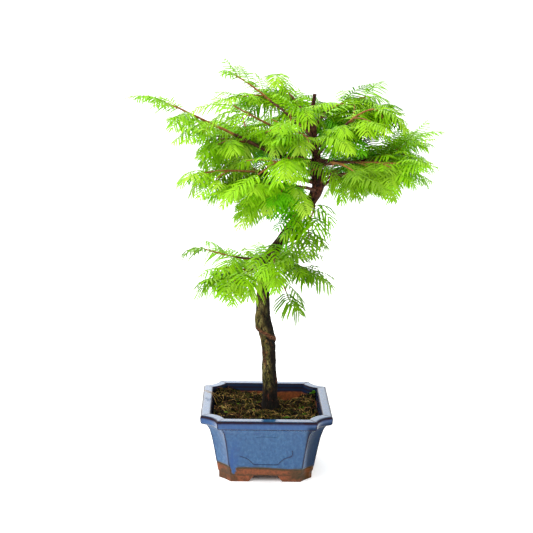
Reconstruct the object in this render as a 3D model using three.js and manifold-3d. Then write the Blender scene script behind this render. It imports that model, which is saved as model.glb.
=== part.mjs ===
// Dawn redwood bonsai in a square glazed pot. Millimetres, +Z up, front of the pot towards -Y.
import * as THREE from "three";
import { mergeVertices } from "three/addons/utils/BufferGeometryUtils.js";
import Module from "manifold-3d";

const wasm = await Module();
wasm.setup();

// ---------------------------------------------------------------- driving sizes
const CLEAR = 0.3; // air kept between neighbouring pieces
const GRID = 0.002; // corners of fused solids lie on this grid
const UP = new THREE.Vector3(0, 0, 1);

// Pot rings: height, half width over the flats, corner cut, depth of the corner's scoop
const POT_OUTSIDE = [
  [0, 55.3, 14.2, 0.6],
  [8, 55.5, 14.4, 0.7],
  [9.6, 56.6, 14.6, 0.8],
  [20, 58.4, 15.0, 1.0],
  [38, 61.4, 15.8, 1.2],
  [54, 64.4, 16.6, 1.6],
  [64, 67.2, 17.4, 2.0],
  [69.4, 70.2, 18.2, 2.6],
  [71.2, 75.0, 19.2, 3.6],
  [73.4, 77.0, 19.6, 4.0],
  [80.4, 77.6, 19.7, 4.0],
  [82.3, 76.0, 19.4, 4.0],
];
const POT_INSIDE = [
  [82.3, 66.2, 16.8, 2.6],
  [81.2, 65.2, 16.5, 2.4],
  [14, 50.0, 12.5, 0.8],
];
const FOOT_GAP = { ground: 40, top: 27.5, height: 8 };
const FOOT_RECESS = { half: 41, cut: 11, height: 6 };

// Soil: level under the trunk, heaped to the front left, sunk at the back right
const SOIL = { level: 74, slope: [-0.030, -0.042], lump: 1.5, pad: 15, shares: [1, 0.84, 0.66, 0.46, 0.24] };

// Trunk: height, x, y, thickness
const TRUNK = [
  [74, 5.4, -1, 21.5],
  [84, 5.0, -1, 18.2],
  [96, 4.8, -1, 17.3],
  [121, 2.9, -1, 16.0],
  [146, 2.2, -1, 16.0],
  [160, 0.7, -1, 17.4],
  [171, -1.5, -1, 18.4],
  [183, -4.9, -1, 18.8],
  [196, -5.4, 0, 17.0],
  [208, -5.8, 0, 15.8],
  [227, -5.4, 0, 14.4],
  [245, -2.6, 0, 13.6],
  [267, 5.4, 0, 12.8],
  [285, 17.6, 0, 12.0],
  [308, 33.6, 0, 11.8],
  [330, 49.0, 0, 11.8],
  [345, 56.0, 0, 12.0],
  [359, 55.6, 0, 10.2],
  [380, 52.6, 0, 7.6],
  [399, 50.4, 0, 7.0],
  [429, 46.8, 0, 5.0],
  [453, 49.6, 0, 4.0],
];
const TRUNK_SIDES = 12;
const TRUNK_STEPS = 32;
const FLARE = { fade: 9, toes: 5, depth: 0.12 }; // root flare: height it fades over, toes, depth
const TRUNK_RIBS = [[0.05, 3, 17], [0.035, 5, -9]]; // depth, ribs round the trunk, height of a twist

// Boughs: name, height on the trunk, elbow, tip, bare share, side sprays, their length,
// length of the leading spray, lift and droop in degrees, needle reach, seed
const BOUGHS = [
  ["far_left", 357, [-48, -26, 410], [-126, -39, 445], 0.27, 12, 57, 38, 5, 54, 15.7, 301],
  ["high_left", 403, [-5, 15, 447], [-45, 22, 473], 0.29, 9, 41, 14, 39, 57, 15.3, 340],
  ["mid_left", 390, [-21, -44, 429], [-43, -65, 442], 0.18, 9, 73, 21, 0, 94, 17.5, 363],
  ["inner_left", 367, [-44, -16, 401], [-64, -20, 384], 0.41, 9, 52, 15, -18, 125, 16, 110],
  ["low_left", 350, [-32, -45, 368], [-82, -72, 365], 0.29, 14, 55, 24, 0, 83, 16.9, 263],
  ["high_back", 422, [18, 47, 456], [8, 49, 470], 0.12, 5, 58, 62, -13, 105, 19.5, 57],
  ["high_front", 410, [25, -42, 437], [21, -53, 420], 0.28, 7, 44, 68, 35, 83, 16, 270],
  ["high_right", 391, [87, -2, 417], [98, 24, 440], 0.19, 8, 64, 32, 3, 57, 19.5, 240],
  ["high_back_right", 410, [74, 50, 434], [116, 62, 447], 0.23, 3, 64, 27, 26, 86, 19.1, 177],
  ["upper_right", 380, [100, -31, 434], [125, -34, 428], 0.17, 10, 55, 17, 20, 93, 17.1, 318],
  ["far_right", 372, [118, -6, 380], [156, -9, 399], 0.39, 7, 64, 46, 30, 34, 18.4, 28],
  ["front_right", 377, [87, -37, 379], [149, -71, 382], 0.26, 11, 77, 36, 3, 68, 15.8, 105],
  ["back_right", 358, [99, 47, 365], [177, 84, 390], 0.26, 15, 57, 14, 28, 49, 15.5, 315],
  ["low_right", 347, [79, -17, 362], [130, -49, 371], 0.28, 6, 78, 56, 14, 106, 17.4, 79],
  ["back_left", 375, [-9, 56, 387], [-33, 104, 420], 0.26, 10, 66, 58, 24, 26, 17.5, 52],
  ["back_middle", 400, [73, 56, 399], [36, 101, 436], 0.26, 9, 57, 68, 33, 46, 18.1, 306],
  ["low_back_right", 336, [92, 48, 354], [124, 92, 332], 0.34, 6, 64, 15, 2, 73, 16.8, 78],
  ["front_upper", 399, [39, -52, 408], [-1, -86, 429], 0.21, 7, 60, 42, 12, 74, 16.8, 381],
  ["front_middle", 364, [25, -60, 386], [-17, -104, 370], 0.12, 11, 65, 57, 17, 101, 17.6, 277],
  ["front_inner", 358, [66, -56, 380], [90, -96, 374], 0.12, 9, 66, 59, -1, 64, 18.8, 2],
  ["low_front", 340, [19, -42, 351], [-44, -74, 349], 0.2, 11, 72, 34, 6, 78, 17.7, 282],
  ["under_left", 318, [30, -24, 342], [-24, -44, 324], 0.16, 10, 56, 20, 0, 67, 14.8, 51],
  ["under_right", 318, [52, -19, 327], [37, -43, 296], 0.31, 6, 34, 42, 3, 96, 18, 213],
  ["bottom_left", 265, [-22, -8, 260], [-75, -19, 273], 0.32, 4, 52, 15, 14, 91, 17.8, 94],
  ["bottom_front", 252, [-36, -40, 248], [-60, -55, 242], 0.18, 9, 46, 29, 13, 125, 18.8, 72],
  ["bottom_right", 270, [8, -28, 263], [36, -40, 249], 0.13, 5, 62, 18, 5, 95, 16, 186],
  ["bottom_back", 267, [4, 27, 245], [-26, 64, 243], 0.35, 3, 49, 67, 31, 41, 16.7, 7],
  ["bottom_hanging", 237, [9, -14, 243], [25, -23, 214], 0.16, 3, 50, 21, -12, 42, 19.5, 10],
];
const BOUGH_SIDES = 5;
const SPINE = 0.45; // half thickness of a spray along its spine
const SHORT_SPRAY = 44; // sprays up to this length have one pair of teeth fewer
const LEAST_SPRAY = 20;
const DROOP_SHARE = 0.6; // share of a bough's droop that its sprays take
const REACH_SHARE = 1.12; // needle length of a grown spray against the bough's figure

// How the side sprays of one bough differ; angles in degrees
const TURN = { foot: 80, less: 34, spread: 16 }; // from the bough at its foot, less towards the tip
const SWELL = 0.35; // share of its length that the last side spray loses
const LENGTH_RANGE = [0.8, 1.15];
const REACH_RANGE = [0.9, 1.1];
const LIFT_SPREAD = 18;
const DROOP_SPREAD = 24;
const CURL = 24;
const ROLL = 20;

// Ways a spray dodges a neighbour, tried in order: share of its length, lift and turn in degrees
const DODGES = [
  [1, 0, 0],
  [1, 9, 0],
  [1, -9, 0],
  [1, 4, 10],
  [1, 4, -10],
  [1, 18, 6],
  [1, -18, 6],
  [0.86, 0, 0],
  [0.86, 14, -12],
  [0.86, -14, 12],
  [0.86, 24, 0],
  [0.7, 0, 0],
  [0.7, 20, 14],
  [0.7, -20, -14],
  [0.5, 0, 0],
  [0.5, 24, 16],
  [0.5, -24, -16],
];

// ---------------------------------------------------------------- small helpers
/** Repeatable number from 0 to 1 out of any keys. */
function chance(...keys) {
  let sum = 0;
  keys.forEach((key, i) => {
    sum += (i * 7.13 + 12.9898) * (key + 1.37 * i);
  });
  const wave = Math.sin(sum) * 43758.5453;
  return wave - Math.floor(wave);
}

/** Repeatable number from low to high. */
function between(low, high, ...keys) {
  return low + (high - low) * chance(...keys);
}

const radians = THREE.MathUtils.degToRad;

/** Value of a column of a table whose first column is the height, at a height. */
function column(table, height, index) {
  const last = table[table.length - 1];
  if (height <= table[0][0]) return table[0][index];
  if (height >= last[0]) return last[index];
  const k = table.findIndex((row) => row[0] > height);
  const [below, above] = [table[k - 1], table[k]];
  const share = (height - below[0]) / (above[0] - below[0]);
  return below[index] + (above[index] - below[index]) * share;
}

/** Indexed surface from points and triangles. */
function surface(points, faces) {
  const geometry = new THREE.BufferGeometry().setFromPoints(points);
  geometry.setIndex(faces.flat());
  return geometry;
}

/** Closed skin through rings of equal count, with a fan over each end. */
function loft(rings) {
  const n = rings[0].length;
  const points = rings.flat();
  const faces = [];
  for (let r = 0; r + 1 < rings.length; r += 1) {
    for (let i = 0; i < n; i += 1) {
      const a = r * n + i;
      const b = r * n + ((i + 1) % n);
      faces.push([a, b, b + n], [a, b + n, a + n]);
    }
  }
  const start = points.push(middle(rings[0])) - 1;
  const end = points.push(middle(rings[rings.length - 1])) - 1;
  const top = (rings.length - 1) * n;
  for (let i = 0; i < n; i += 1) {
    const next = (i + 1) % n;
    faces.push([start, next, i], [end, top + i, top + next]);
  }
  return surface(points, faces);
}

/** Mean of a ring's points. */
function middle(ring) {
  const sum = ring.reduce((total, point) => total.add(point), new THREE.Vector3());
  return sum.divideScalar(ring.length);
}

/** Geometry as an exact solid. */
function solid(geometry) {
  const merged = mergeVertices(geometry, 1e-5);
  return new wasm.Manifold(new wasm.Mesh({
    numProp: 3,
    vertProperties: Float32Array.from(merged.attributes.position.array),
    triVerts: Uint32Array.from(merged.index.array),
  }));
}

/** Exact solid as geometry. */
function geometryOf(body) {
  const mesh = body.getMesh();
  const geometry = new THREE.BufferGeometry();
  geometry.setAttribute("position", new THREE.BufferAttribute(Float32Array.from(mesh.vertProperties), 3));
  geometry.setIndex([...mesh.triVerts]);
  return geometry;
}

/** Solid with its corners on a fine grid and collapsed triangles gone, or null if that opens it. */
function gridded(body) {
  const geometry = geometryOf(body);
  const { array } = geometry.attributes.position;
  for (let i = 0; i < array.length; i += 1) array[i] = Math.round(array[i] / GRID) * GRID;
  const merged = mergeVertices(geometry, GRID / 4);
  const index = [...merged.index.array];
  const kept = [];
  for (let i = 0; i < index.length; i += 3) {
    const [a, b, c] = index.slice(i, i + 3);
    if (a !== b && b !== c && c !== a) kept.push(a, b, c);
  }
  merged.setIndex(kept);
  try {
    return solid(merged);
  } catch {
    return null;
  }
}

/** The largest piece of a solid, without scraps and sealed hollows. */
function largest(body) {
  const pieces = body.decompose();
  return pieces.reduce((best, piece) => (piece.volume() > best.volume() ? piece : best));
}

// ---------------------------------------------------------------- pot and soil
/** Square outline with scooped corners, at a height. */
function outline(height, half, cut, scoop, sideSteps = 1) {
  const corner = [];
  const from = new THREE.Vector2(half, half - cut);
  const to = new THREE.Vector2(half - cut, half);
  const pull = half - cut / 2 - scoop * Math.SQRT2;
  const curve = new THREE.QuadraticBezierCurve(from, new THREE.Vector2(pull, pull), to);
  for (const point of curve.getPoints(4)) corner.push(point);
  for (let i = 1; i < sideSteps; i += 1) {
    corner.push(new THREE.Vector2(half - cut - (2 * (half - cut) * i) / sideSteps, half));
  }
  const ring = [];
  for (let turn = 0; turn < 4; turn += 1) {
    const angle = (turn * Math.PI) / 2;
    for (const point of corner) {
      const p = point.clone().rotateAround(new THREE.Vector2(), angle);
      ring.push(new THREE.Vector3(p.x, p.y, height));
    }
  }
  return ring;
}

/** Straight bar of constant section along X, from the section's y and z pairs. */
function barAlongX(section, reach) {
  const ring = (x) => section.map(([y, z]) => new THREE.Vector3(x, y, z));
  return loft([ring(-reach), ring(reach)]);
}

/** Pot with its hollow, foot recess and the four gaps between its feet. */
function potGeometry() {
  const rings = [...POT_OUTSIDE, ...POT_INSIDE].map((row) => outline(...row));
  const { half, cut, height } = FOOT_RECESS;
  const recess = loft([outline(-1, half, cut, 0.3), outline(height, half, cut, 0.3)]);
  const slope = (FOOT_GAP.ground - FOOT_GAP.top) / 2 / FOOT_GAP.height;
  const low = FOOT_GAP.ground / 2 + slope;
  const high = FOOT_GAP.top / 2;
  const gap = barAlongX([[-low, -1], [low, -1], [high, FOOT_GAP.height], [-high, FOOT_GAP.height]], 80);
  const across = gap.clone().rotateZ(Math.PI / 2);
  const cutters = solid(recess).add(solid(gap)).add(solid(across));
  return geometryOf(largest(solid(loft(rings)).subtract(cutters)));
}

/** Height of the soil's surface over a place. */
function soilHeight(x, y, fade) {
  const lump = SOIL.lump * (Math.sin(x / 7.3 + y / 11) + Math.sin(y / 5.9 - x / 13)) * 0.5;
  const heap = SOIL.slope[0] * x + SOIL.slope[1] * y;
  return SOIL.level + (heap + lump) * fade;
}

/** Inside outline of the pot at a height, drawn in by the clearance. */
function insideOutline(height, sideSteps) {
  const wall = POT_INSIDE.slice(1).reverse();
  const [half, cut, scoop] = [1, 2, 3].map((index) => column(wall, height, index));
  return outline(height, half - CLEAR - 0.1, cut, scoop, sideSteps);
}

/** Soil that fills the pot, with a level pad under the trunk. */
function soilGeometry() {
  const steps = 4;
  const foot = insideOutline(POT_INSIDE[2][0] + CLEAR, steps).map((p) => p.setZ(POT_INSIDE[2][0] + CLEAR));
  const edge = insideOutline(SOIL.level, steps).map((p) => {
    const height = soilHeight(p.x, p.y, 1);
    const wall = insideOutline(height, steps);
    const nearest = wall.reduce((a, b) => (a.distanceToSquared(p) < b.distanceToSquared(p) ? a : b));
    return nearest.setZ(height);
  });
  const [padX, padY] = [TRUNK[0][1], TRUNK[0][2]];
  const rings = [foot];
  for (const share of SOIL.shares) {
    rings.push(edge.map((p) => {
      const angle = Math.atan2(p.y - padY, p.x - padX);
      const rim = new THREE.Vector3(padX + SOIL.pad * Math.cos(angle), padY + SOIL.pad * Math.sin(angle), 0);
      const q = rim.lerp(p, share);
      if (share < 1) q.z = soilHeight(q.x, q.y, Math.min(1, share * 1.6));
      return q;
    }));
  }
  rings.push(edge.map((p) => {
    const angle = Math.atan2(p.y - padY, p.x - padX);
    const x = padX + SOIL.pad * Math.cos(angle);
    return new THREE.Vector3(x, padY + SOIL.pad * Math.sin(angle), SOIL.level);
  }));
  return loft(rings);
}

// ---------------------------------------------------------------- trunk and limbs
/** Tapering tube round a path, its section shaped by a radius for each angle and share. */
function tube(path, sides, radius) {
  const rings = [];
  let across = new THREE.Vector3(1, 0, 0);
  path.forEach((point, k) => {
    const before = path[Math.max(k - 1, 0)];
    const after = path[Math.min(k + 1, path.length - 1)];
    const along = after.clone().sub(before).normalize();
    if (k === 0 && Math.abs(along.x) > 0.9) across = new THREE.Vector3(0, 1, 0);
    across = across.addScaledVector(along, -across.dot(along)).normalize();
    const third = along.clone().cross(across);
    const ring = [];
    for (let i = 0; i < sides; i += 1) {
      const angle = (2 * Math.PI * i) / sides;
      const r = radius(angle, k / (path.length - 1), point);
      ring.push(point.clone().addScaledVector(across, r * Math.cos(angle))
        .addScaledVector(third, r * Math.sin(angle)));
    }
    rings.push(ring);
  });
  return rings;
}

/** Centre of the trunk at a height. */
function trunkCentre(height) {
  return new THREE.Vector3(column(TRUNK, height, 1), column(TRUNK, height, 2), height);
}

/** Trunk with its flare, kink and cut top, swollen by an extra where it serves as a cutter. */
function trunkGeometry(extra) {
  const curve = new THREE.CatmullRomCurve3(TRUNK.map(([z, x, y]) => new THREE.Vector3(x, y, z)));
  const path = curve.getSpacedPoints(TRUNK_STEPS);
  path[0].z = SOIL.level + CLEAR;
  const rings = tube(path, TRUNK_SIDES, (angle, share, point) => {
    const foot = Math.exp(-(point.z - SOIL.level) / FLARE.fade);
    const flare = FLARE.depth * foot * Math.cos(FLARE.toes * angle);
    const waves = TRUNK_RIBS.map(([depth, ribs, twist]) => depth * Math.sin(ribs * angle + point.z / twist));
    const shape = waves.reduce((sum, wave) => sum + wave, 1 + flare);
    return (column(TRUNK, point.z, 3) / 2) * shape + extra;
  });
  rings[0].forEach((point) => {
    point.z = SOIL.level + CLEAR;
  });
  return loft(rings);
}

/** Evenly counted points of a limb that leaves the trunk's centre and passes its elbow. */
function limbPath(height, elbow, tip) {
  const root = trunkCentre(height);
  const end = new THREE.Vector3(...tip);
  const pull = new THREE.Vector3(...elbow).multiplyScalar(2)
    .addScaledVector(root, -0.5).addScaledVector(end, -0.5);
  return new THREE.QuadraticBezierCurve3(root, pull, end).getPoints(24);
}

/** Point, direction and whole length of a path at a share of its length. */
function along(path, share) {
  const steps = [0];
  for (let i = 1; i < path.length; i += 1) steps.push(steps[i - 1] + path[i].distanceTo(path[i - 1]));
  const length = steps[steps.length - 1];
  const at = (distance) => {
    const d = THREE.MathUtils.clamp(distance, 0, length);
    const k = Math.min(Math.max(steps.findIndex((step) => step >= d), 1), path.length - 1);
    return path[k - 1].clone().lerp(path[k], (d - steps[k - 1]) / (steps[k] - steps[k - 1]));
  };
  const point = at(share * length);
  const heading = at(share * length + 1).sub(at(share * length - 1)).normalize();
  return { point, heading, length };
}

/** Radius of a limb at a share of its length. */
function limbRadius(length, share) {
  return (1.2 + length / 150) * (1 - 0.66 * share);
}

/** Tube along a part of a limb. */
function limbGeometry(path, from, to, sides, steps) {
  const { length } = along(path, 0);
  const points = [];
  for (let i = 0; i <= steps; i += 1) points.push(along(path, from + ((to - from) * i) / steps).point);
  return loft(tube(points, sides, (angle, share) => limbRadius(length, from + (to - from) * share)));
}

// ---------------------------------------------------------------- foliage
/** Share of the full needle length along a spray. */
function needleShare(s) {
  const rise = 0.62 + 0.38 * Math.min(1, s / 0.25);
  return rise * (s < 0.45 ? 1 : 1 - 0.62 * ((s - 0.45) / 0.55) ** 1.4);
}

/** Points and directions along an arching spray. */
function sprayPath(spray) {
  const steps = 12;
  const points = [spray.root.clone()];
  const headings = [];
  for (let k = 0; k < steps; k += 1) {
    const s = (k + 0.5) / steps;
    const rise = spray.lift - spray.droop * s ** 1.2;
    const turn = spray.heading + spray.curl * s;
    const flat = Math.cos(rise);
    const t = new THREE.Vector3(flat * Math.cos(turn), flat * Math.sin(turn), Math.sin(rise));
    headings.push(t);
    points.push(points[k].clone().addScaledVector(t, spray.length / steps));
  }
  return { points, headings, steps };
}

/** Point, direction, side and upper normal of a spray at a share of its length. */
function sprayFrame(spray, course, s) {
  const place = Math.min(s, 1) * course.steps;
  const k = Math.min(Math.floor(place), course.steps - 1);
  const point = course.points[k].clone().lerp(course.points[k + 1], place - k);
  const t = course.headings[k];
  const turn = spray.heading + spray.curl * s;
  const level = new THREE.Vector3(Math.sin(turn), -Math.cos(turn), 0);
  const lifted = level.clone().cross(t);
  const side = level.multiplyScalar(Math.cos(spray.roll)).addScaledVector(lifted, Math.sin(spray.roll));
  return { point, t, side, normal: side.clone().cross(t) };
}

/** Point of a spray's edge, out to one side of its spine. */
function edgePoint(frame, sign, out, lean, sag) {
  return frame.point.clone()
    .addScaledVector(frame.t, out * Math.cos(lean))
    .addScaledVector(frame.side, sign * out * Math.sin(lean))
    .addScaledVector(UP, -sag);
}

/** Toothed blade for one spray: a raised spine with pairs of drooping teeth. */
function sprayGeometry(spray) {
  const teeth = spray.length > SHORT_SPRAY ? 4 : 3;
  const course = sprayPath(spray);
  const points = [];
  const put = (point) => points.push(point) - 1;
  const rows = [];
  for (let j = 0; j < teeth; j += 1) {
    const spine = sprayFrame(spray, course, j / teeth);
    const notch = sprayFrame(spray, course, (j + 0.05) / teeth);
    const tooth = sprayFrame(spray, course, (j + 0.4) / teeth);
    const s = (j + 0.45) / teeth;
    const full = spray.reach * needleShare(s);
    const sideAt = (sign) => ({
      notch: j === 0 ? -1 : put(edgePoint(notch, sign, full * 0.2, Math.PI / 2, 0)),
      tooth: put(edgePoint(tooth, sign, full * 1.02, radians(68 - 24 * s), full * 0.265)),
    });
    rows.push({
      top: put(spine.point.clone().addScaledVector(spine.normal, SPINE)),
      under: put(spine.point.clone().addScaledVector(spine.normal, -SPINE)),
      sides: [sideAt(1), sideAt(-1)],
    });
  }
  const end = put(course.points[course.steps]);
  return surface(points, [0, 1].flatMap((k) => bladeFaces(rows, end, k)));
}

/** Triangles of one side of a blade, over and under, turned outwards. */
function bladeFaces(rows, end, k) {
  const faces = [];
  const tip = { top: end, under: end, sides: [{ notch: -1 }, { notch: -1 }] };
  rows.forEach((row, j) => {
    const next = rows[j + 1] ?? tip;
    const { notch, tooth } = row.sides[k];
    const ahead = next.sides[k].notch;
    faces.push([row.top, tooth, next.top], [row.under, next.under, tooth]);
    if (j === 0) faces.push([row.under, tooth, row.top]);
    if (notch >= 0) faces.push([row.top, notch, tooth], [row.under, tooth, notch]);
    if (ahead >= 0) faces.push([next.top, tooth, ahead], [next.under, ahead, tooth]);
  });
  return k === 0 ? faces : faces.map((face) => [face[0], face[2], face[1]]);
}

/** The spray that leads on from a mass's tip. */
function leadingSpray(row, path) {
  const [, , , , , , , leader, , droop, reach, seed] = row;
  const { heading } = along(path, 1);
  const rise = Math.asin(heading.z);
  return {
    root: along(path, 0.985).point,
    heading: Math.atan2(heading.y, heading.x),
    length: leader,
    lift: rise * 0.8 + 0.1,
    droop: radians(DROOP_SHARE * droop * between(0.4, 0.7, seed, 90, 4)) + Math.max(0, rise) * 0.8,
    curl: 0,
    reach: REACH_SHARE * reach * 0.95,
    roll: 0,
  };
}

/** Side sprays of a mass from its foot out and then its leading spray, by the seeded rule. */
function spraysOf(row, path) {
  const [, , , , bare, count, size, , lift, droop, reach, seed] = row;
  const sprays = [];
  for (let k = 0; k < count; k += 1) {
    const { point, heading } = along(path, bare + ((1 - bare) * (k + 0.4)) / count);
    const side = k % 2 === 1 ? 1 : -1;
    const turn = TURN.foot - TURN.less * (k / count) + between(-TURN.spread, TURN.spread, seed, k, 1);
    sprays.push({
      root: point,
      heading: Math.atan2(heading.y, heading.x) + side * radians(turn),
      length: size * (1 - SWELL * (k / count) ** 2) * between(...LENGTH_RANGE, seed, k, 2),
      lift: radians(lift + between(-LIFT_SPREAD, LIFT_SPREAD, seed, k, 3)),
      droop: radians(DROOP_SHARE * droop + between(-DROOP_SPREAD, DROOP_SPREAD, seed, k, 4)),
      curl: radians(-side * between(0, CURL, seed, k, 5)),
      reach: REACH_SHARE * reach * between(...REACH_RANGE, seed, k, 6),
      roll: radians(between(-ROLL, ROLL, seed, k, 7)),
    });
  }
  sprays.push(leadingSpray(row, path));
  return sprays;
}

/** Whether a solid keeps the clearance from every neighbour. */
function isClear(body, neighbours) {
  const box = body.boundingBox();
  return neighbours.every(({ body: other, box: room }) => {
    const apart = [0, 1, 2].some((axis) => box.min[axis] > room.max[axis] + CLEAR
      || box.max[axis] < room.min[axis] - CLEAR);
    return apart || body.minGap(other, CLEAR + 0.1) >= CLEAR;
  });
}

/** Stem of a mass, going on from its bough's tip. */
function stemSolid(row, path) {
  const { length } = along(path, 0);
  return solid(limbGeometry(path, row[4] + (CLEAR + 0.5) / length, 1, 3, 6));
}

/** A spray as a solid, drawn in, lifted and turned by one way of dodging. */
function dodgingSpray(spray, [share, lift, turn]) {
  return solid(sprayGeometry({
    ...spray,
    length: Math.max(spray.length * share, LEAST_SPRAY),
    reach: spray.reach * (share < 1 ? 0.94 : 1),
    lift: spray.lift + radians(lift),
    heading: spray.heading + radians(turn),
  }));
}

/** One mass of foliage: its stem with every spray that finds room, fused. */
function massSolid(row, path, stem, neighbours) {
  const own = [];
  let mass = gridded(stem);
  for (const spray of spraysOf(row, path)) {
    for (const dodge of DODGES) {
      const body = dodgingSpray(spray, dodge);
      if (!isClear(body, neighbours) || !isClear(body, own)) continue;
      const joined = gridded(largest(mass.add(body)));
      if (!joined) continue;
      mass = joined;
      own.push({ body, box: body.boundingBox() });
      break;
    }
  }
  sprayCount += own.length;
  return mass;
}

// ---------------------------------------------------------------- the whole plant
const part = new THREE.Group();
part.name = "dawn_redwood_bonsai";

/** Adds a named mesh with its own finish. */
function add(name, geometry, color, roughness) {
  const material = new THREE.MeshStandardMaterial({ color, roughness, metalness: 0 });
  const mesh = new THREE.Mesh(geometry, material);
  mesh.name = name;
  part.add(mesh);
}

add("pot", potGeometry(), 0x4a74ad, 0.18);
add("soil", soilGeometry(), 0x3b3320, 0.95);
add("trunk", trunkGeometry(0), 0x534b33, 0.9);

const placed = new Map();
let sprayCount = 0;

/** Notes a finished solid as a neighbour of those still to come. */
function keep(name, body) {
  placed.set(name, { name, body, box: body.boundingBox() });
}

/** Every noted solid but the named one. */
function others(name) {
  return [...placed.values()].filter((entry) => entry.name !== name);
}

keep("trunk", solid(trunkGeometry(0)));
const trunkCutter = solid(trunkGeometry(CLEAR + 0.05));
const paths = BOUGHS.map(([, height, elbow, tip]) => limbPath(height, elbow, tip));
BOUGHS.forEach((row, k) => {
  const limb = solid(limbGeometry(paths[k], 0, row[4], BOUGH_SIDES, 4)).subtract(trunkCutter);
  const bough = largest(limb);
  keep(`bough_${row[0]}`, bough);
  add(`bough_${row[0]}`, geometryOf(bough), 0x5a3a28, 0.85);
});
const stems = BOUGHS.map((row, k) => stemSolid(row, paths[k]));
BOUGHS.forEach((row, k) => {
  keep(`needles_${row[0]}`, stems[k]);
});
const GREENS = [0x7fae30, 0x74a92a, 0x86b83a, 0x69a024];
BOUGHS.forEach((row, k) => {
  const name = `needles_${row[0]}`;
  const mass = massSolid(row, paths[k], stems[k], others(name));
  keep(name, mass);
  add(name, geometryOf(mass), GREENS[k % GREENS.length], 0.55);
});

const box = new THREE.Box3().setFromObject(part);
const centre = box.getCenter(new THREE.Vector3());
const shift = [centre.x, centre.y].map((value) => Math.round(value / GRID) * GRID);
part.children.forEach((mesh) => mesh.geometry.translate(-shift[0], -shift[1], 0));
let triangles = 0;
part.children.forEach((mesh) => {
  triangles += mesh.geometry.index.count / 3;
});
console.log(`${part.children.length} nodes, ${triangles} triangles, ${sprayCount} sprays, centre ${shift}`);

export default part;
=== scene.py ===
"""Dawn redwood bonsai in a square glazed pot: every finished surface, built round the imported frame.

Sizes are in millimetres from the middle of the pot at table height until a mesh is made, and in metres in
the frame from there on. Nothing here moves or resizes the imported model.
"""

import logging
import math
from collections.abc import Iterator
from dataclasses import dataclass, field
from enum import Enum

import bpy
import numpy as np
from mathutils import Matrix, Vector, kdtree

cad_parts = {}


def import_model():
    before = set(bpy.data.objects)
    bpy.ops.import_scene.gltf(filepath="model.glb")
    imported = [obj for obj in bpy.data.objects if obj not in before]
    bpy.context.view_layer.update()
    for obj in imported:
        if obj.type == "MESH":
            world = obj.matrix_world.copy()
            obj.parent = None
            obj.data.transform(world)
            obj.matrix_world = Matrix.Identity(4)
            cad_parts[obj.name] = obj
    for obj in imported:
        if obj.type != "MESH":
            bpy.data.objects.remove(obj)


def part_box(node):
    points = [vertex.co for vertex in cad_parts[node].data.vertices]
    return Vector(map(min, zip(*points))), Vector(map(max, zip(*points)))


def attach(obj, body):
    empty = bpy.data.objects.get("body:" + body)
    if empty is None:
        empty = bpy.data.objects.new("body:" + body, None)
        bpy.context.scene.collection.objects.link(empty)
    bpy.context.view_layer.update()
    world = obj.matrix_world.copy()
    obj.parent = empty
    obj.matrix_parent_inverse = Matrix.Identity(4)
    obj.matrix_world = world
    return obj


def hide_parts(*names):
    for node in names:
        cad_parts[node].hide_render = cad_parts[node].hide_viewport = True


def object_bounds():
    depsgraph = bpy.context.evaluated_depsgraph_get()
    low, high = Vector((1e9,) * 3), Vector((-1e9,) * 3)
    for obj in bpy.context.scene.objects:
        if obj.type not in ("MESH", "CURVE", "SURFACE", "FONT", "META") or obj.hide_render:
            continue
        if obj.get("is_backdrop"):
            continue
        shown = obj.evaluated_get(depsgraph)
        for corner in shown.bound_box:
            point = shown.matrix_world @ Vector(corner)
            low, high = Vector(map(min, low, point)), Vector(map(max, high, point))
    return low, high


LOG = logging.getLogger("dawn_redwood")
MM = 0.001
UP = np.array([0.0, 0.0, 1.0])
BODY = "root"
# where the plant is looked at from, in millimetres from the middle of the pot
EYE = (-31.9, -1245.7, 510.7)
# what the glaze reads at each point of the pot
MARKS = ("glaze", "thin", "edge", "streak", "painted_shade")
# leaves the height out of a place
FLAT = np.array([1, 1, 0])

Colour = tuple[int, int, int]
Triple = tuple[float, float, float]
Table = tuple[tuple[float, ...], ...]
Points = np.ndarray
Socket = bpy.types.NodeSocket


# ------------------------ numbers that repeat
def chance(*keys: float | Points) -> float | Points:
    """Repeatable number from 0 to 1 out of any keys, or one for each entry of array keys.

    Args:
        keys: Whole numbers, or arrays of them that fit each other.

    Returns:
        The number, or an array of numbers.
    """
    total = 0.0
    for place, key in enumerate(keys):
        total = total + (place * 7.13 + 12.9898) * (key + 1.37 * place)
    wave = np.sin(total) * 43758.5453
    return wave - np.floor(wave)


def between(low: float, high: float, *keys: float | Points) -> float | Points:
    """Repeatable number from low to high out of any keys."""
    return low + (high - low) * chance(*keys)


def lattice(cells: Points, seed: int) -> Points:
    """Repeatable value from 0 to 1 at each corner of a whole-number lattice.

    Args:
        cells: Whole numbers, three to a row.
        seed: Another seed gives another lattice.

    Returns:
        One value a row.
    """
    c = cells.astype(np.int64).astype(np.uint32)
    mixed = c[..., 0] * np.uint32(374761393) + c[..., 1] * np.uint32(668265263)
    mixed = mixed + c[..., 2] * np.uint32(2246822519) + np.uint32(seed * 2654435 % 4294967295)
    mixed = (mixed ^ (mixed >> np.uint32(13))) * np.uint32(1274126177)
    mixed = mixed ^ (mixed >> np.uint32(16))
    return mixed / 4294967295.0


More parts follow.
